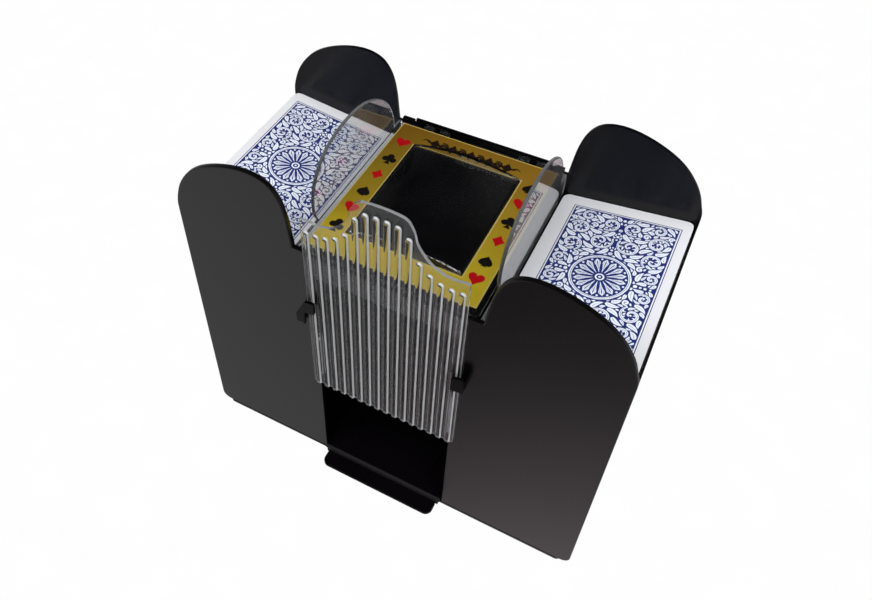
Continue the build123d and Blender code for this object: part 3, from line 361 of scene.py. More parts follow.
def mat_ink(name, base, rough=0.35, spread=0.25, spec=0.2):
    g = Graph(name)
    n = g.noise(1600.0, 3.0, 0.65)
    col = g.mix(g.mapr(n, 0.3, 0.72, 0.0, spread), base, tuple(min(1.0, c * 2.0 + 0.02) for c in base))
    g.bsdf(color=col, rough=g.mapr(n, 0.3, 0.7, rough * 0.85, rough * 1.2), normal=g.bump(n, 0.08, 0.00003), spec=spec)
    MATS[name] = g.mat


def mat_card():
    """Coated card stock: air-cushion embossing on the faces, darker fibres on the cut edges."""
    g = Graph("card_stock")
    emb = g.voronoi(1500.0)
    fib = g.noise(2600.0, 4.0, 0.7, g.scaled(1.0, 0.2, 3.0))
    up = g.nt.nodes.new("ShaderNodeSeparateXYZ")
    g.nt.links.new(g.geo.outputs["Normal"], up.inputs[0])
    face = g.mapr(g.math("ABSOLUTE", up.outputs[2]), 0.5, 0.8, 0.0, 1.0)
    edge_col = g.mix(g.mapr(fib, 0.3, 0.7, 0.0, 1.0), (0.78, 0.76, 0.72), (0.50, 0.49, 0.47))
    cloud = g.noise(20.0, 3.0)
    face_col = g.mix(g.mapr(cloud, 0.35, 0.7, 0.0, 1.0), (0.815, 0.825, 0.855), (0.775, 0.785, 0.825))
    col = g.mix(face, edge_col, face_col)
    g.bsdf(color=col, rough=0.34, spec=0.4, normal=g.bump(emb, 0.05, 0.00005), sss=0.0)
    MATS["card_stock"] = g.mat


def mat_cell():
    """Battery jacket: dark sleeve with a copper coloured band."""
    g = Graph("cell_jacket")
    x = g.math("ABSOLUTE", g.axis(0))
    band = g.math("MULTIPLY", g.math("GREATER_THAN", x, 0.086), g.math("LESS_THAN", x, 0.0995))
    n = g.noise(300.0, 3.0)
    col = g.mix(band, (0.02, 0.022, 0.03), (0.55, 0.26, 0.08))
    col = g.mix(g.mapr(n, 0.4, 0.8, 0.0, 0.3), col, (0.12, 0.12, 0.13))
    g.bsdf(color=col, rough=0.24, coat=0.4, coat_rough=0.08, normal=g.bump(n, 0.03, 0.0001), metal=g.math("MULTIPLY", band, 0.8))
    MATS["cell_jacket"] = g.mat


def mat_wire():
    g = Graph("wire_jacket")
    x = g.axis(0)
    n = g.noise(500.0, 2.0)
    col = g.mix(g.math("GREATER_THAN", g.noise(14.0, 0.0), 0.5), (0.42, 0.02, 0.02), (0.02, 0.02, 0.022))
    g.bsdf(color=col, rough=g.mapr(n, 0.3, 0.7, 0.35, 0.5), normal=g.bump(n, 0.1, 0.0001))
    MATS["wire_jacket"] = g.mat


def mat_armature():
    g = Graph("copper_core")
    y = g.axis(1)
    wave = g.nt.nodes.new("ShaderNodeTexWave")
    wave.bands_direction = "Y"
    wave.inputs["Scale"].default_value = 900.0
    wave.inputs["Distortion"].default_value = 0.6
    g.nt.links.new(g.pos, wave.inputs["Vector"])
    core = g.math("MULTIPLY", g.math("GREATER_THAN", y, 0.019), g.math("LESS_THAN", y, 0.033))
    col = g.mix(core, (0.6, 0.6, 0.62), (0.5, 0.22, 0.08))
    g.bsdf(color=col, rough=0.32, metal=1.0, normal=g.bump(wave.outputs["Fac"], 0.3, 0.0001))
    MATS["copper_core"] = g.mat


mat_gold()
mat_gold_edge()
mat_card()
mat_cell()
mat_wire()
mat_armature()
mat_ink("ink_red", (0.34, 0.003, 0.006), 0.35, 0.08)
mat_ink("ink_black", (0.004, 0.0035, 0.003), 0.35, 0.12)
mat_ink("ink_brown", (0.010, 0.005, 0.003), 0.35, 0.08)
mat_ink("ink_navy", (0.008, 0.021, 0.155), 0.32, 0.06)
mat_ink("ink_white", (0.83, 0.88, 0.96), 0.34, 0.05)


def dress(node, mat):
    o = NODES[node]
    o.data.materials.clear()
    o.data.materials.append(MATS[mat])
    for p in o.data.polygons:
        p.material_index = 0


DRESS = {
    "front_panel": "black_plastic", "rear_panel": "black_plastic_rear_reflection_tint", "side_wall": "black_plastic",
    "base_plate": "black_plastic", "foot_pads": "pad_rubber", "base_screws": "screw_steel",
    "bracket_screws": "screw_steel", "motor_screws": "screw_steel", "chamber_wall": "inner_black", "bay_walls": "inner_black",
    "card_tray": "inner_black", "card_guide": "clear_guide", "card_deck": "card_stock",
    "roller_shaft": "steel", "roller_hubs": "white_nylon", "roller_tyres": "roller_rubber",
    "roller_gear": "white_nylon", "idler_gear": "white_nylon", "idler_axles": "steel",
    "motor_pinion": "brass_gear", "gear_plate": "inner_black", "roller_brackets": "inner_black",
    "shaft_bushes": "brass_gear", "motor_case": "steel_can", "motor_end_caps": "white_nylon",
    "motor_armature": "copper_core", "battery_holder": "inner_black", "battery_cells": "cell_jacket",
    "battery_contacts": "spring_steel", "battery_springs": "spring_steel", "battery_door": "black_plastic",
    "switch_body": "inner_black", "switch_rocker": "rocker_black", "wiring": "wire_jacket",
    "lid_plate": "clear_plastic", "gold_label": "gold_print", "dome_window": "clear_plastic",
    "hinge_bar": "clip_black", "hinge_pins": "steel", "front_door": "clear_door",
    "door_clip": "clip_black", "catch_tray": "tray_black",
}
for n in NODES:
    stem = n
    for p in ("left_", "right_"):
        if n.startswith(p):
            stem = n[len(p):]
    dress(n, DRESS[stem])


# ============================================================ mesh helpers
def new_object(name, verts, faces, mats, face_mats=None, smooth=False):
    me = bpy.data.meshes.new(name)
    me.from_pydata([tuple(float(c) for c in v) for v in verts], [], [tuple(f) for f in faces])
    for m in mats:
        me.materials.append(MATS[m])
    if face_mats is not None:
        me.polygons.foreach_set("material_index", np.array(face_mats, np.int32))
    if smooth:
        me.polygons.foreach_set("use_smooth", [True] * len(me.polygons))
    me.update()
    o = bpy.data.objects.new(name, me)
    bpy.context.scene.collection.objects.link(o)
    return o


class Sheet:
    """Collects thin closed prisms drawn in a plane (u, v) and lays them into space."""

    def __init__(self, place):
        self.place = place          # (u, v, h) -> (x, y, z), all mm
        self.verts, self.faces, self.fm = [], [], []

    def prism(self, outline, h0, h1, mat):
        n = len(outline)
        b = len(self.verts)
        for h in (h0, h1):
            for u, v in outline:
                self.verts.append(self.place(u, v, h))
        self.faces.append([b + n + i for i in range(n)])
        self.faces.append([b + i for i in reversed(range(n))])
        self.fm += [mat, mat]
        for i in range(n):
            j = (i + 1) % n
            self.faces.append([b + i, b + j, b + n + j, b + n + i])
            self.fm.append(mat)

    def strip(self, left, right, h0, h1, mat, closed=False):
        """A ribbon between two rails."""
        n = len(left)
        b = len(self.verts)
        for h in (h0, h1):
            for (u, v), (s, t) in zip(left, right):
                self.verts.append(self.place(u, v, h))
                self.verts.append(self.place(s, t, h))
        top = b + 2 * n
        last = n if closed else n - 1
        for i in range(last):
            j = (i + 1) % n
            a0, a1, b0, b1 = 2 * i, 2 * i + 1, 2 * j, 2 * j + 1
            self.faces.append([top + a0, top + a1, top + b1, top + b0])
            self.faces.append([b + a0, b + b0, b + b1, b + a1])
            self.faces.append([b + a0, top + a0, top + b0, b + b0])
            self.faces.append([b + a1, b + b1, top + b1, top + a1])
            self.fm += [mat] * 4
        if not closed:
            self.faces.append([b, b + 1, top + 1, top])
            e0, e1 = 2 * (n - 1), 2 * (n - 1) + 1
            self.faces.append([b + e0, top + e0, top + e1, b + e1])
            self.fm += [mat] * 2

    def ribbon(self, pts, widths, h0, h1, mat, closed=False):
        pts = np.array(pts, float)
        if closed:
            d = np.roll(pts, -1, 0) - np.roll(pts, 1, 0)
        else:
            d = np.gradient(pts, axis=0)
        d /= np.maximum(np.linalg.norm(d, axis=1)[:, None], 1e-9)
        nrm = np.c_[-d[:, 1], d[:, 0]]
        w = np.array(widths, float)[:, None] / 2
        self.strip((pts + nrm * w).tolist(), (pts - nrm * w).tolist(), h0, h1, mat, closed)

    def disc(self, u, v, r, h0, h1, mat, n=20):
        self.prism([(u + r * math.cos(2 * math.pi * i / n), v + r * math.sin(2 * math.pi * i / n)) for i in range(n)], h0, h1, mat)

    def ring(self, u, v, r0, r1, h0, h1, mat, n=64):
        a = [2 * math.pi * i / n for i in range(n)]
        self.strip([(u + r0 * math.cos(t), v + r0 * math.sin(t)) for t in a],
                   [(u + r1 * math.cos(t), v + r1 * math.sin(t)) for t in a], h0, h1, mat, True)

    def build(self, name, mats):
        return new_object(name, np.array(self.verts) * MM, self.faces, mats, self.fm)


def consistent(o):
    bm = bmesh.new()
    bm.from_mesh(o.data)
    bmesh.ops.recalc_face_normals(bm, faces=bm.faces)
    bm.to_mesh(o.data)
    bm.free()
    return o


# ============================================================ the cards
deck_lo, deck_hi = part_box("right_card_deck")
X0 = deck_lo.x / MM
X1 = deck_hi.x / MM
YC = (deck_lo.y + deck_hi.y) / 2 / MM
TILT = math.radians(7.3)
CARD_W, CARD_L, CARD_R = (X1 - X0) / math.cos(TILT), (deck_hi.y - deck_lo.y) / MM, 3.2
RISE = (X1 - X0) * math.tan(TILT)
Z_TOP_IN = deck_hi.z / MM - RISE
Z_BOT_IN = deck_lo.z / MM
STACK = Z_TOP_IN - Z_BOT_IN
N_CARDS = 150


def card_outline(inset=0.0, steps=6, r=CARD_R):
    hw, hl = CARD_W / 2 - inset, CARD_L / 2 - inset
    r = max(r - inset, 0.3)
    pts = []
    for cx, cy, a0 in ((hw - r, hl - r, 0), (-hw + r, hl - r, 90), (-hw + r, -hl + r, 180), (hw - r, -hl + r, 270)):
        for i in range(steps + 1):
            a = math.radians(a0 + 90 * i / steps)
            pts.append((cx + r * math.cos(a), cy + r * math.sin(a)))
    return pts


def deck_place(side, jitter=(0.0, 0.0), turn=0.0):
    """(u across, v along, h above the lowest card) -> space.  u grows outwards."""
    ct, st = math.cos(TILT), math.sin(TILT)
    cj, sj = math.cos(turn), math.sin(turn)

    def f(u, v, h):
        u, v = u * cj - v * sj + jitter[0], u * sj + v * cj + jitter[1]
        s = u + CARD_W / 2
        return (side * (X0 + s * ct), YC + v, Z_BOT_IN + s * st + h)
    return f


def card_stack(side, name):
    rnd = random.Random(11 if side > 0 else 23)
    pitch = STACK / N_CARDS
    verts, faces = [], []
    outline = card_outline()
    small = card_outline(0.05)
    n = len(outline)
    for k in range(N_CARDS):
        last = k == N_CARDS - 1
        drift = 0.10 * math.sin(k * 0.13) + 0.08 * math.sin(k * 0.037 + 1.0)
        ju = 0.0 if last else min(max(drift + rnd.uniform(-0.10, 0.10), -0.2), 0.12)
        jv = 0.0 if last else min(max(rnd.uniform(-0.22, 0.16) - 0.1, -0.3), 0.0)
        f = deck_place(side, (ju, jv), 0.0 if last else rnd.uniform(-0.0015, 0.0015))
        h0, h1 = k * pitch, (k + 1) * pitch - (0.0 if last else 0.035)
        b = len(verts)
        for (src, h) in ((small, h0), (outline, h0 + 0.04), (outline, h1 - 0.04), (small, h1)):
            for u, v in src:
                verts.append(f(u, v, h))
        faces.append([b + 3 * n + i for i in range(n)])
        faces.append([b + i for i in reversed(range(n))])
        for layer in range(3):
            for i in range(n):
                j = (i + 1) % n
                faces.append([b + layer * n + i, b + layer * n + j, b + (layer + 1) * n + j, b + (layer + 1) * n + i])
    o = new_object(name, np.array(verts) * MM, faces, ["card_stock"])
    return consistent(o)


BACK_SHIFT = (1.45, -1.0)
PANEL_U, PANEL_V = 25.0, 41.9
LEVELS = [0.012, 0.024, 0.036, 0.048]
AXIS_V = ((15.4, 1.05), (17.7, 0.72), (19.5, 0.55), (24.9, 0.62), (27.0, 0.85), (29.2, 0.70), (31.4, 1.0), (38.4, 0.9))
AXIS_U = ((15.3, 1.0), (17.5, 0.7), (19.5, 0.8), (21.7, 0.6))
NAVY, WHITE = 0, 1


class Filigree:
    """Grows a dense leaf pattern in one quarter panel: every leaf takes the widest gap that is left."""

    def __init__(self, half_u, half_v, hole, gap=0.52):
        self.step = 0.14
        self.us = np.arange(0.07, half_u, self.step)
        self.vs = np.arange(0.07, half_v, self.step)
        self.U, self.V = np.meshgrid(self.us, self.vs, indexing="ij")
        self.free = np.minimum.reduce([self.U, self.V, half_u - self.U, half_v - self.V, np.hypot(self.U, self.V) - hole])
        self.gap = gap
        self.half = (half_u, half_v)
        self.shapes = []            # (points, half widths, has midrib)

    def at(self, u, v):
        i = np.clip(((u - 0.07) / self.step).round().astype(int), 0, len(self.us) - 1)
        j = np.clip(((v - 0.07) / self.step).round().astype(int), 0, len(self.vs) - 1)
        f = self.free[i, j]
        out = (u < 0) | (v < 0) | (u > self.half[0]) | (v > self.half[1])
        return np.where(out, -1.0, f)

    def block(self, pts, ws):
        """Takes the shape's own area out of the free distance."""
        lo = pts.min(0) - 7.0
        hi = pts.max(0) + 7.0
        i0, i1 = np.searchsorted(self.us, [lo[0], hi[0]])
        j0, j1 = np.searchsorted(self.vs, [lo[1], hi[1]])
        U, V = self.U[i0:i1, j0:j1], self.V[i0:i1, j0:j1]
        f = self.free[i0:i1, j0:j1]
        n = len(pts)
        m = max(2, int(np.linalg.norm(np.diff(pts, axis=0), axis=1).sum() / 0.35))
        t = np.linspace(0, n - 1, m)
        k = np.minimum(t.astype(int), n - 2)
        a = (t - k)[:, None]
        P = pts[k] * (1 - a) + pts[k + 1] * a
        W = ws[k] * (1 - a[:, 0]) + ws[k + 1] * a[:, 0]
        for (pu, pv), w in zip(P, W):
            np.minimum(f, np.hypot(U - pu, V - pv) - w, out=f)

    def add(self, pts, ws, rib=False):
        pts, ws = np.asarray(pts, float), np.asarray(ws, float)
        self.shapes.append((pts, ws, rib))
        self.block(pts, ws)

    def scroll(self, cu, cv, r, spin, start):
        """A rolled vine: heavy outer ring that runs into the eye, with a bead."""
        turns = 1.30
        n = 54
        t = np.linspace(0, 1, n)
        rad = r * (0.93 - 0.77 * t ** 0.9)
        a = start + spin * 2 * math.pi * turns * t
        pts = np.c_[cu + rad * np.cos(a), cv + rad * np.sin(a)]
        ws = (0.24 + 0.42 * min(1.0, r / 3.6) * np.sin(math.pi * np.minimum(1.0, 0.12 + t * 0.84)))
        self.add(pts, ws, r > 3.0)
        # curled leaves on the inside of the vine
        for k in range(5 if r > 4.5 else 3 if r > 3.0 else 0):
            i = 4 + 6 * k
            c, s_ = math.cos(a[i] + math.pi - spin * 0.75), math.sin(a[i] + math.pi - spin * 0.75)
            L = r * 0.34
            q = np.linspace(0, 1, 7)
            bend = spin * 0.9 * q
            lp = pts[i] + np.c_[L * q * np.cos(a[i] + math.pi - spin * 0.75 + bend), L * q * np.sin(a[i] + math.pi - spin * 0.75 + bend)]
            self.add(lp, 0.085 * r * np.sin(math.pi * (0.22 + 0.78 * q) ** 0.8) + 0.03)
        self.add(np.array([[cu - 0.03, cv], [cu + 0.03, cv]]) + (pts[-1] - [cu, cv]) * 0.2, np.array([0.09 * r] * 2))

    def grow(self, rnd, count, smallest):
        shape_t = np.linspace(0, 1, 9)
        prof = np.sin(math.pi * (0.06 + 0.94 * shape_t) ** 0.72) ** 0.8
        prof[-1] = 0.04
        for _ in range(count):
            i, j = np.unravel_index(np.argmax(self.free), self.free.shape)
            best_free = float(self.free[i, j])
            if best_free < smallest:
                break
            cu, cv = float(self.us[i]), float(self.vs[j])
            best = None
            for k in range(20):
                ang = 2 * math.pi * (k + rnd.random() * 0.6) / 20
                for L in (6.2, 4.6, 3.4, 2.5, 1.7):
                    for bend in (-0.9, 0.0, 0.9):
                        aa = ang + bend * (shape_t - 0.5)
                        seg = L / 8
                        du = np.cumsum(np.cos(aa)) * seg
                        dv = np.cumsum(np.sin(aa)) * seg
                        du, dv = du - du[4], dv - dv[4]
                        room = self.at(cu + du, cv + dv) - self.gap / 2
                        wmax = min(float(np.min(room[:-1] / prof[:-1])), 0.29 * L, 1.15)
                        if wmax < 0.22 or room[-1] < 0.02:
                            continue
                        score = L ** 0.9 * wmax ** 1.1
                        if best is None or score > best[0]:
                            best = (score, np.c_[cu + du, cv + dv], prof * wmax)
            if best is None:
                self.block(np.array([[cu, cv], [cu + 0.01, cv]]), np.array([0.25, 0.25]))
                continue
            self.add(best[1], best[2], best[2].max() > 0.50)


def quarter_pattern(half_u, half_v, hole):
    fil = Filigree(half_u, half_v, hole)
    rnd = random.Random(5)
    # beads and buds on the two axes keep the halves from parting along a bare line
    for v, w in AXIS_V:
        fil.free = np.minimum(fil.free, np.hypot(fil.U, fil.V - v) - w)
    for u, w in AXIS_U:
        fil.free = np.minimum(fil.free, np.hypot(fil.U - u, fil.V) - w)
    scrolls = [(6.6, 22.2, 6.1, 1, 2.6), (18.2, 16.6, 5.3, -1, 4.2), (17.6, 27.6, 5.2, 1, 0.4), (5.3, 34.2, 4.9, -1, 5.2),
               (16.2, 36.8, 3.6, -1, 2.4), (20.4, 6.3, 3.7, 1, 3.8), (14.4, 10.4, 1.7, 1, 1.0), (22.2, 33.4, 1.8, 1, 0.0), (11.8, 31.4, 1.7, 1, 0.0)]
    for cu, cv, r, spin, start in scrolls:
        fil.scroll(cu, cv, min(r, half_u - cu - 0.15), spin, start)
    fil.grow(rnd, 300, 0.42)
    return fil.shapes


PATTERN = None


def card_back(side, name):
    global PATTERN
    f = deck_place(side)
    s = Sheet(lambda u, v, h: f(u + BACK_SHIFT[0], v + BACK_SHIFT[1], STACK + h))
    half_u, half_v = PANEL_U, PANEL_V
    h = LEVELS

    def rect(hu, hv, w, lo, hi, m):
        s.strip([(hu, hv), (-hu, hv), (-hu, -hv), (hu, -hv)],
                [(hu - w, hv - w), (-hu + w, hv - w), (-hu + w, -hv + w), (hu - w, -hv + w)], lo, hi, m, True)
    rect(half_u, half_v, 0.36, 0.004, h[0], NAVY)
    iu, iv = half_u - 0.95, half_v - 0.95
    s.prism([(iu, iv), (-iu, iv), (-iu, -iv), (iu, -iv)], 0.004, h[0], NAVY)
    if PATTERN is None:
        PATTERN = quarter_pattern(iu - 0.22, iv - 0.22, 13.55)
    lo, hi = h[0] - 0.004, h[1]
    for pts, ws, rib in PATTERN:
        d = np.gradient(pts, axis=0)
        d /= np.maximum(np.linalg.norm(d, axis=1)[:, None], 1e-9)
        nrm = np.c_[-d[:, 1], d[:, 0]] * ws[:, None]
        round_end = len(pts) == 2
        for su in (1, -1):
            for sv in (1, -1):
                m = np.array([su, sv])
                if round_end:
                    c = pts.mean(0) * m
                    s.disc(c[0], c[1], float(ws[0]), lo, hi, WHITE, 14)
                    continue
                s.strip(((pts + nrm) * m).tolist(), ((pts - nrm) * m).tolist(), lo, hi, WHITE)
                if rib:
                    mid = pts[1:-2] * m
                    w2 = np.linspace(0.17, 0.05, len(mid))
                    n2 = (nrm[1:-2] / np.maximum(ws[1:-2, None], 1e-6)) * w2[:, None] * 0.5 * m
                    s.strip((mid + n2).tolist(), (mid - n2).tolist(), hi - 0.003, h[2], NAVY)
    for v, w in AXIS_V:
        for sv in (1, -1):
            s.disc(0, sv * v, w - 0.1, lo, hi, WHITE, 18)
            if w > 0.9:
                s.ring(0, sv * v, 0.34, 0.46, hi - 0.003, h[2], NAVY, 18)
    for u, w in AXIS_U:
        for su in (1, -1):
            s.disc(su * u, 0, w - 0.1, lo, hi, WHITE, 18)
    # rosette: scalloped rim, sixteen petals, ringed eye
    n = 160
    rim_o, rim_i = [], []
    for i in range(n):
        a = 2 * math.pi * i / n
        k = 0.16 * abs(math.sin(16 * a / 2)) ** 0.7
        rim_o.append(((13.18 + k) * math.cos(a), (13.18 + k) * math.sin(a)))
        rim_i.append((12.0 * math.cos(a), 12.0 * math.sin(a)))
    s.strip(rim_i, rim_o, lo, hi, WHITE, True)
    s.ring(0, 0, 12.42, 12.62, hi - 0.003, h[2], NAVY, 96)
    petals = 16
    for k in range(petals):
        a = 2 * math.pi * k / petals
        ca, sa = math.cos(a), math.sin(a)

        def rail(prof, sg):
            return [(r * ca - sg * w * sa, r * sa + sg * w * ca) for r, w in prof]
        prof = [(3.0, 0.10), (4.2, 0.24), (5.8, 0.46), (7.2, 0.82), (8.4, 1.26), (9.3, 1.36), (10.1, 0.98), (10.7, 0.40), (11.3, 0.05)]
        s.strip(rail(prof, 1), rail(prof, -1), lo, hi, WHITE)
        line = [(5.0, 0.05), (7.4, 0.15), (9.2, 0.26), (10.3, 0.04)]
        s.strip(rail(line, 1), rail(line, -1), hi - 0.003, h[2], NAVY)
        for sg in (1, -1):
            edge = [(6.6, sg * 0.42), (8.2, sg * 0.72), (9.6, sg * 0.86), (10.3, sg * 0.60)]
            pts = [(r * ca - w * sa, r * sa + w * ca) for r, w in edge]
            s.ribbon(pts, [0.05, 0.12, 0.14, 0.05], hi - 0.003, h[2], NAVY)
        b = a + math.pi / petals
        s.disc(11.05 * math.cos(b), 11.05 * math.sin(b), 0.52, lo, hi, WHITE, 12)
    s.ring(0, 0, 1.30, 2.05, lo, hi, WHITE, 48)
    s.disc(0, 0, 0.55, lo, hi, WHITE, 18)
    o = s.build(name, ["ink_navy", "ink_white"])
    return consistent(o)


for side, tag in ((1, "right"), (-1, "left")):
    st = card_stack(side, tag + "_card_stack")
    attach(st, tag + "_deck")
    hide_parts(tag + "_card_deck")
    pr = card_back(side, tag + "_card_back_print")
    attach(pr, tag + "_deck")


# ============================================================ the lid's printing
lab_lo, lab_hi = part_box("gold_label")
LZ = lab_hi.z / MM


def flat_place(u, v, h):
    return (u, v, LZ + h)


def heart(cx, cy, s):
    pts = []
    n = 40
    for i in range(n):
        t = 2 * math.pi * i / n
        x = 16 * math.sin(t) ** 3
        y = 13 * math.cos(t) - 5 * math.cos(2 * t) - 2 * math.cos(3 * t) - math.cos(4 * t)
        pts.append((cx + x * s / 33.0, cy + (y + 2) * s / 31.0))
    return [pts]


def diamond(cx, cy, s):
    pts = []
    corner = [(0, 0.56), (-0.46, 0), (0, -0.56), (0.46, 0)]
    for i in range(4):
        a, b = corner[i], corner[(i + 1) % 4]
        for k in range(8):
            t = k / 8
            pinch = 1 - 0.10 * math.sin(math.pi * t)
            pts.append((cx + s * (a[0] + (b[0] - a[0]) * t) * pinch, cy + s * (a[1] + (b[1] - a[1]) * t) * pinch))
    return [pts]


def stem(cx, cy, s):
    return [(cx - 0.05 * s, cy + 0.02 * s), (cx - 0.07 * s, cy - 0.22 * s), (cx - 0.13 * s, cy - 0.38 * s), (cx - 0.24 * s, cy - 0.5 * s),
            (cx + 0.24 * s, cy - 0.5 * s), (cx + 0.13 * s, cy - 0.38 * s), (cx + 0.07 * s, cy - 0.22 * s), (cx + 0.05 * s, cy + 0.02 * s)]


def club(cx, cy, s):
    out = []
    for dx, dy in ((0, 0.24), (-0.25, -0.06), (0.25, -0.06)):
        out.append([(cx + s * (dx + 0.225 * math.cos(2 * math.pi * i / 22)), cy + s * (dy + 0.225 * math.sin(2 * math.pi * i / 22))) for i in range(22)])
    out.append([(cx + s * 0.12 * math.cos(2 * math.pi * i / 10), cy + s * (0.04 + 0.12 * math.sin(2 * math.pi * i / 10))) for i in range(10)])
    out.append(stem(cx, cy, s)[::-1])
    return out


def spade(cx, cy, s):
    pts = [(x, 2 * cy - y + 0.04 * s) for x, y in heart(cx, cy, s * 0.98)[0]][::-1]
    return [pts, stem(cx, cy, s)[::-1]]


SUITS = [(-1, [heart, club, diamond, spade, heart, club]), (1, [spade, heart, club, diamond, spade, heart])]
SUIT_SIZE = {heart: 7.4, club: 7.6, diamond: 6.6, spade: 6.6}
SUIT_Y = {-1: [30.9, 17.4, 4.9, -8.0, -20.2, -32.6], 1: [28.8, 17.0, 3.9, -8.8, -22.2, -33.6]}
reds = Sheet(flat_place)
blacks = Sheet(flat_place)
for side, kinds in SUITS:
    for fn, y in zip(kinds, SUIT_Y[side]):
        target = reds if fn in (heart, diamond) else blacks
        for i, outline in enumerate(fn(side * 33.5, y, SUIT_SIZE[fn])):
            target.prism(outline, 0.004, 0.02 + 0.003 * i, 0)
o = consistent(reds.build("label_red_suits", ["ink_red"]))
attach(o, "lid")
# rear band: a row of lozenges and curls where the original carries lettering
orn = Sheet(flat_place)
yb = 37.4
for k in range(9):
    x = -18.8 + k * 4.7
    if k % 2 == 0:
        for p in diamond(x, yb, 6.4):
            orn.prism(p, 0.004, 0.02, 0)
    else:
        for sg in (1, -1):
            pts = [(x + sg * (0.3 + 2.4 * t) * math.cos(3.4 * t * math.pi / 2), yb + sg * (0.3 + 2.4 * t) * math.sin(3.4 * t * math.pi / 2)) for t in np.linspace(0, 1, 20)]
            orn.ribbon(pts, [1.5 - 0.6 * t for t in np.linspace(0, 1, 20)], 0.004, 0.02, 0)
for sg in (1, -1):
    pts = [(sg * (21.6 + 4.2 * t), yb + 1.3 * math.sin(math.pi * t)) for t in np.linspace(0, 1, 14)]
    orn.ribbon(pts, [1.5 - 1.3 * t for t in np.linspace(0, 1, 14)], 0.004, 0.02, 0)
o = consistent(orn.build("label_rear_ornament", ["ink_brown"]))
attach(o, "lid")
o = consistent(blacks.build("label_black_suits", ["ink_black"]))
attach(o, "lid")
# painted highlight: paler gold lines along the foil's outer edge and around the window
rim = Sheet(flat_place)


def frame_strip(x0, x1, y0, y1, w):
    rim.strip([(x1, y1), (x0, y1), (x0, y0), (x1, y0)], [(x1 - w, y1 - w), (x0 + w, y1 - w), (x0 + w, y0 + w), (x1 - w, y0 + w)], 0.003, 0.016, 0, True)


lx, ly0, ly1 = lab_hi.x / MM, lab_lo.y / MM, lab_hi.y / MM
frame_strip(-lx + 0.05, lx - 0.05, ly0 + 0.05, ly1 - 0.05, 0.45)
dl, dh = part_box("dome_window")
frame_strip(dl.x / MM - 0.75, dh.x / MM + 0.75, dl.y / MM - 0.75, dh.y / MM + 0.75, 0.5)
o = consistent(rim.build("label_edge_highlight_lines", ["gold_edge_highlight"]))
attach(o, "lid")


# ============================================================ stage, lights, camera
GLOSS_FLOOR = 0.66
DIFF_FLOOR = 0.5


def stage_floor():
    n = 48
    R = 4.0
    verts = [(0, 0, -0.0002)]
    faces = []
    rings = [0.3, 0.8, 2.0, R]
    for r in rings:
        for i in range(n):
            a = 2 * math.pi * i / n
            verts.append((r * math.cos(a), r * math.sin(a), -0.0002))
    for i in range(n):
        faces.append((0, 1 + i, 1 + (i + 1) % n))
    for k in range(len(rings) - 1):
        for i in range(n):
            j = (i + 1) % n
            a, b = 1 + k * n, 1 + (k + 1) * n
            faces.append((a + i, b + i, b + j, a + j))
    g = Graph("floor_paper")
    nz = g.mapr(g.noise(40.0, 3.0), 0.3, 0.7, 0.0, 1.0)
    paper = g.mix(nz, (1.0, 1.0, 1.0), (0.985, 0.985, 0.985))
    # painted reflection: as seen in the plastic, the sheet's glow is grey and darkens towards the right-hand foreground
    x, y = g.axis(0), g.axis(1)
    depth = g.mapr(y, -0.19, -0.055, 0.0, 1.0)
    right_side = g.mapr(x, -0.048, -0.012, 0.0, 1.0)
    near = g.math("ADD", 0.23, g.math("MULTIPLY", g.math("POWER", depth, 0.9), 0.55))
    near = g.math("MULTIPLY", near, g.mapr(x, 0.0, 0.11, 0.62, 1.32))
    far = g.math("SUBTRACT", 0.80, g.math("MULTIPLY", depth, 0.22))
    painted_reflection_level = g.math("ADD", g.math("MULTIPLY", right_side, near), g.math("MULTIPLY", g.math("SUBTRACT", 1.0, right_side), far))
    beside = g.mapr(x, 0.108, 0.14, 0.0, 1.0)
    painted_reflection_level = g.math("ADD", g.math("MULTIPLY", painted_reflection_level, g.math("SUBTRACT", 1.0, beside)), g.math("MULTIPLY", beside, 0.5))
    lp = g.node("ShaderNodeLightPath")
    direct = g.math("MAXIMUM", lp.outputs["Is Camera Ray"], lp.outputs["Is Transmission Ray"])
    indirect = g.math("ADD", g.math("MULTIPLY", lp.outputs["Is Glossy Ray"], g.math("SUBTRACT", g.math("MULTIPLY", painted_reflection_level, GLOSS_FLOOR), DIFF_FLOOR)), DIFF_FLOOR)
    level = g.math("ADD", g.math("MULTIPLY", direct, 1.0), g.math("MULTIPLY", g.math("SUBTRACT", 1.0, direct), indirect))
    e = g.node("ShaderNodeEmission")
    # painted reflection: to glossy rays the right-hand part of the sheet glows with a pink tint
    g.set(e.inputs[0], g.mix(g.math("MULTIPLY", g.math("MULTIPLY", right_side, g.math("SUBTRACT", 1.0, beside)), lp.outputs["Is Glossy Ray"]), paper, (1.0, 0.88, 0.92)))
    g.set(e.inputs[1], level)
    g.nt.links.new(e.outputs[0], g.out.inputs[0])
    MATS["floor_paper"] = g.mat
    o = new_object("studio_floor", verts, faces, ["floor_paper"])
    return o


stage_floor()

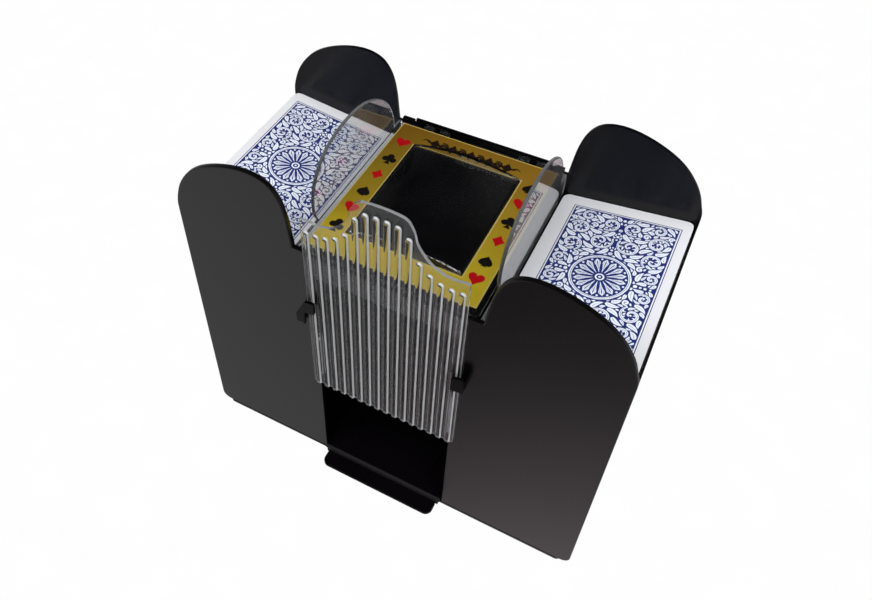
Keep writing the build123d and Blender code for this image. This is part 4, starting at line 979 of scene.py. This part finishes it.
world = bpy.data.worlds.new("studio")
bpy.context.scene.world = world
world.use_nodes = True
wt = world.node_tree
wt.nodes.clear()
wo = wt.nodes.new("ShaderNodeOutputWorld")
bg_cam = wt.nodes.new("ShaderNodeBackground")
bg_cam.inputs[0].default_value = (1.0, 1.0, 1.0, 1.0)
bg_cam.inputs[1].default_value = 1.0
bg_env = wt.nodes.new("ShaderNodeBackground")
tc = wt.nodes.new("ShaderNodeTexCoord")
sep = wt.nodes.new("ShaderNodeSeparateXYZ")
wt.links.new(tc.outputs["Generated"], sep.inputs[0])
rampw = wt.nodes.new("ShaderNodeValToRGB")
rampw.color_ramp.elements[0].position = 0.0
rampw.color_ramp.elements[0].color = (0.40, 0.41, 0.43, 1)
rampw.color_ramp.elements[1].position = 0.55
rampw.color_ramp.elements[1].color = (0.03, 0.03, 0.035, 1)
wt.links.new(sep.outputs[2], rampw.inputs[0])
wt.links.new(rampw.outputs[0], bg_env.inputs[0])
bg_env.inputs[1].default_value = 0.6
lp = wt.nodes.new("ShaderNodeLightPath")
mx = wt.nodes.new("ShaderNodeMixShader")
mxm = wt.nodes.new("ShaderNodeMath")
mxm.operation = "MAXIMUM"
wt.links.new(lp.outputs["Is Camera Ray"], mxm.inputs[0])
mxm.inputs[1].default_value = 0.0
wt.links.new(mxm.outputs[0], mx.inputs[0])
wt.links.new(bg_env.outputs[0], mx.inputs[1])
wt.links.new(bg_cam.outputs[0], mx.inputs[2])
wt.links.new(mx.outputs[0], wo.inputs[0])


def area(name, loc, target, size, power, color=(1, 1, 1), size_y=None, glossy=False):
    li = bpy.data.lights.new(name, "AREA")
    li.energy = power
    li.color = color
    li.shape = "RECTANGLE"
    li.size = size
    li.size_y = size_y or size
    o = bpy.data.objects.new(name, li)
    bpy.context.scene.collection.objects.link(o)
    o.location = loc
    d = Vector(target) - Vector(loc)
    o.rotation_mode = "QUATERNION"
    o.rotation_quaternion = d.to_track_quat("-Z", "Y")
    o.visible_glossy = glossy
    o.visible_transmission = glossy
    return o


area("key_left", (-0.95, -0.75, 1.15), (0, 0, 0.08), 0.9, 11.0)
area("fill_right", (1.1, -0.55, 0.75), (0, 0, 0.1), 0.7, 7.6, (1.0, 0.99, 0.97))
area("top_soft", (0.15, -0.25, 1.5), (0, 0, 0.1), 1.1, 14.0)
area("rear_rim", (0.65, 1.15, 0.7), (0, 0, 0.12), 0.8, 6.0, (0.97, 0.98, 1.0))

bpy.context.scene.view_settings.view_transform = "Standard"
bpy.context.scene.view_settings.look = "None"
bpy.context.scene.view_settings.exposure = 0.0
bpy.context.scene.view_settings.gamma = 1.0

cam_data = bpy.data.cameras.new("camera")
cam = bpy.data.objects.new("camera", cam_data)
bpy.context.scene.collection.objects.link(cam)
R2 = Vector((0.8811495, 0.4728295, -0.0028149))
U2 = Vector((-0.3378307, 0.6337130, 0.6959010))
BACK = Vector((0.3308263, -0.6122419, 0.7181322))
CAM_AT = Vector((0.1048934, -0.2512844, 0.4264316))
m = Matrix((R2, U2, BACK)).transposed().to_4x4()
cam.rotation_mode = "QUATERNION"
cam.rotation_quaternion = m.to_quaternion()
cam.location = CAM_AT
cam_data.sensor_width = 36.0
cam_data.sensor_fit = "HORIZONTAL"
cam_data.lens = 34.14229
cam_data.clip_start = 0.01
cam_data.clip_end = 20.0
bpy.context.scene.camera = cam


def shift_driver(prop, value):
    """The main view is cropped off-centre, so the lens is shifted there and nowhere else."""
    fc = cam_data.driver_add(prop)
    drv = fc.driver
    drv.type = "SCRIPTED"
    v = drv.variables.new()
    v.name = "x"
    v.type = "TRANSFORMS"
    t = v.targets[0]
    t.id = cam
    t.transform_type = "LOC_X"
    t.transform_space = "WORLD_SPACE"
    w = drv.variables.new()
    w.name = "z"
    w.type = "TRANSFORMS"
    t = w.targets[0]
    t.id = cam
    t.transform_type = "LOC_Z"
    t.transform_space = "WORLD_SPACE"
    drv.expression = "%.5f if abs(x - %.5f) < 0.0005 and abs(z - %.5f) < 0.0005 else 0.0" % (value, CAM_AT.x, CAM_AT.z)


shift_driver("shift_x", 0.06714)
shift_driver("shift_y", -0.07692)
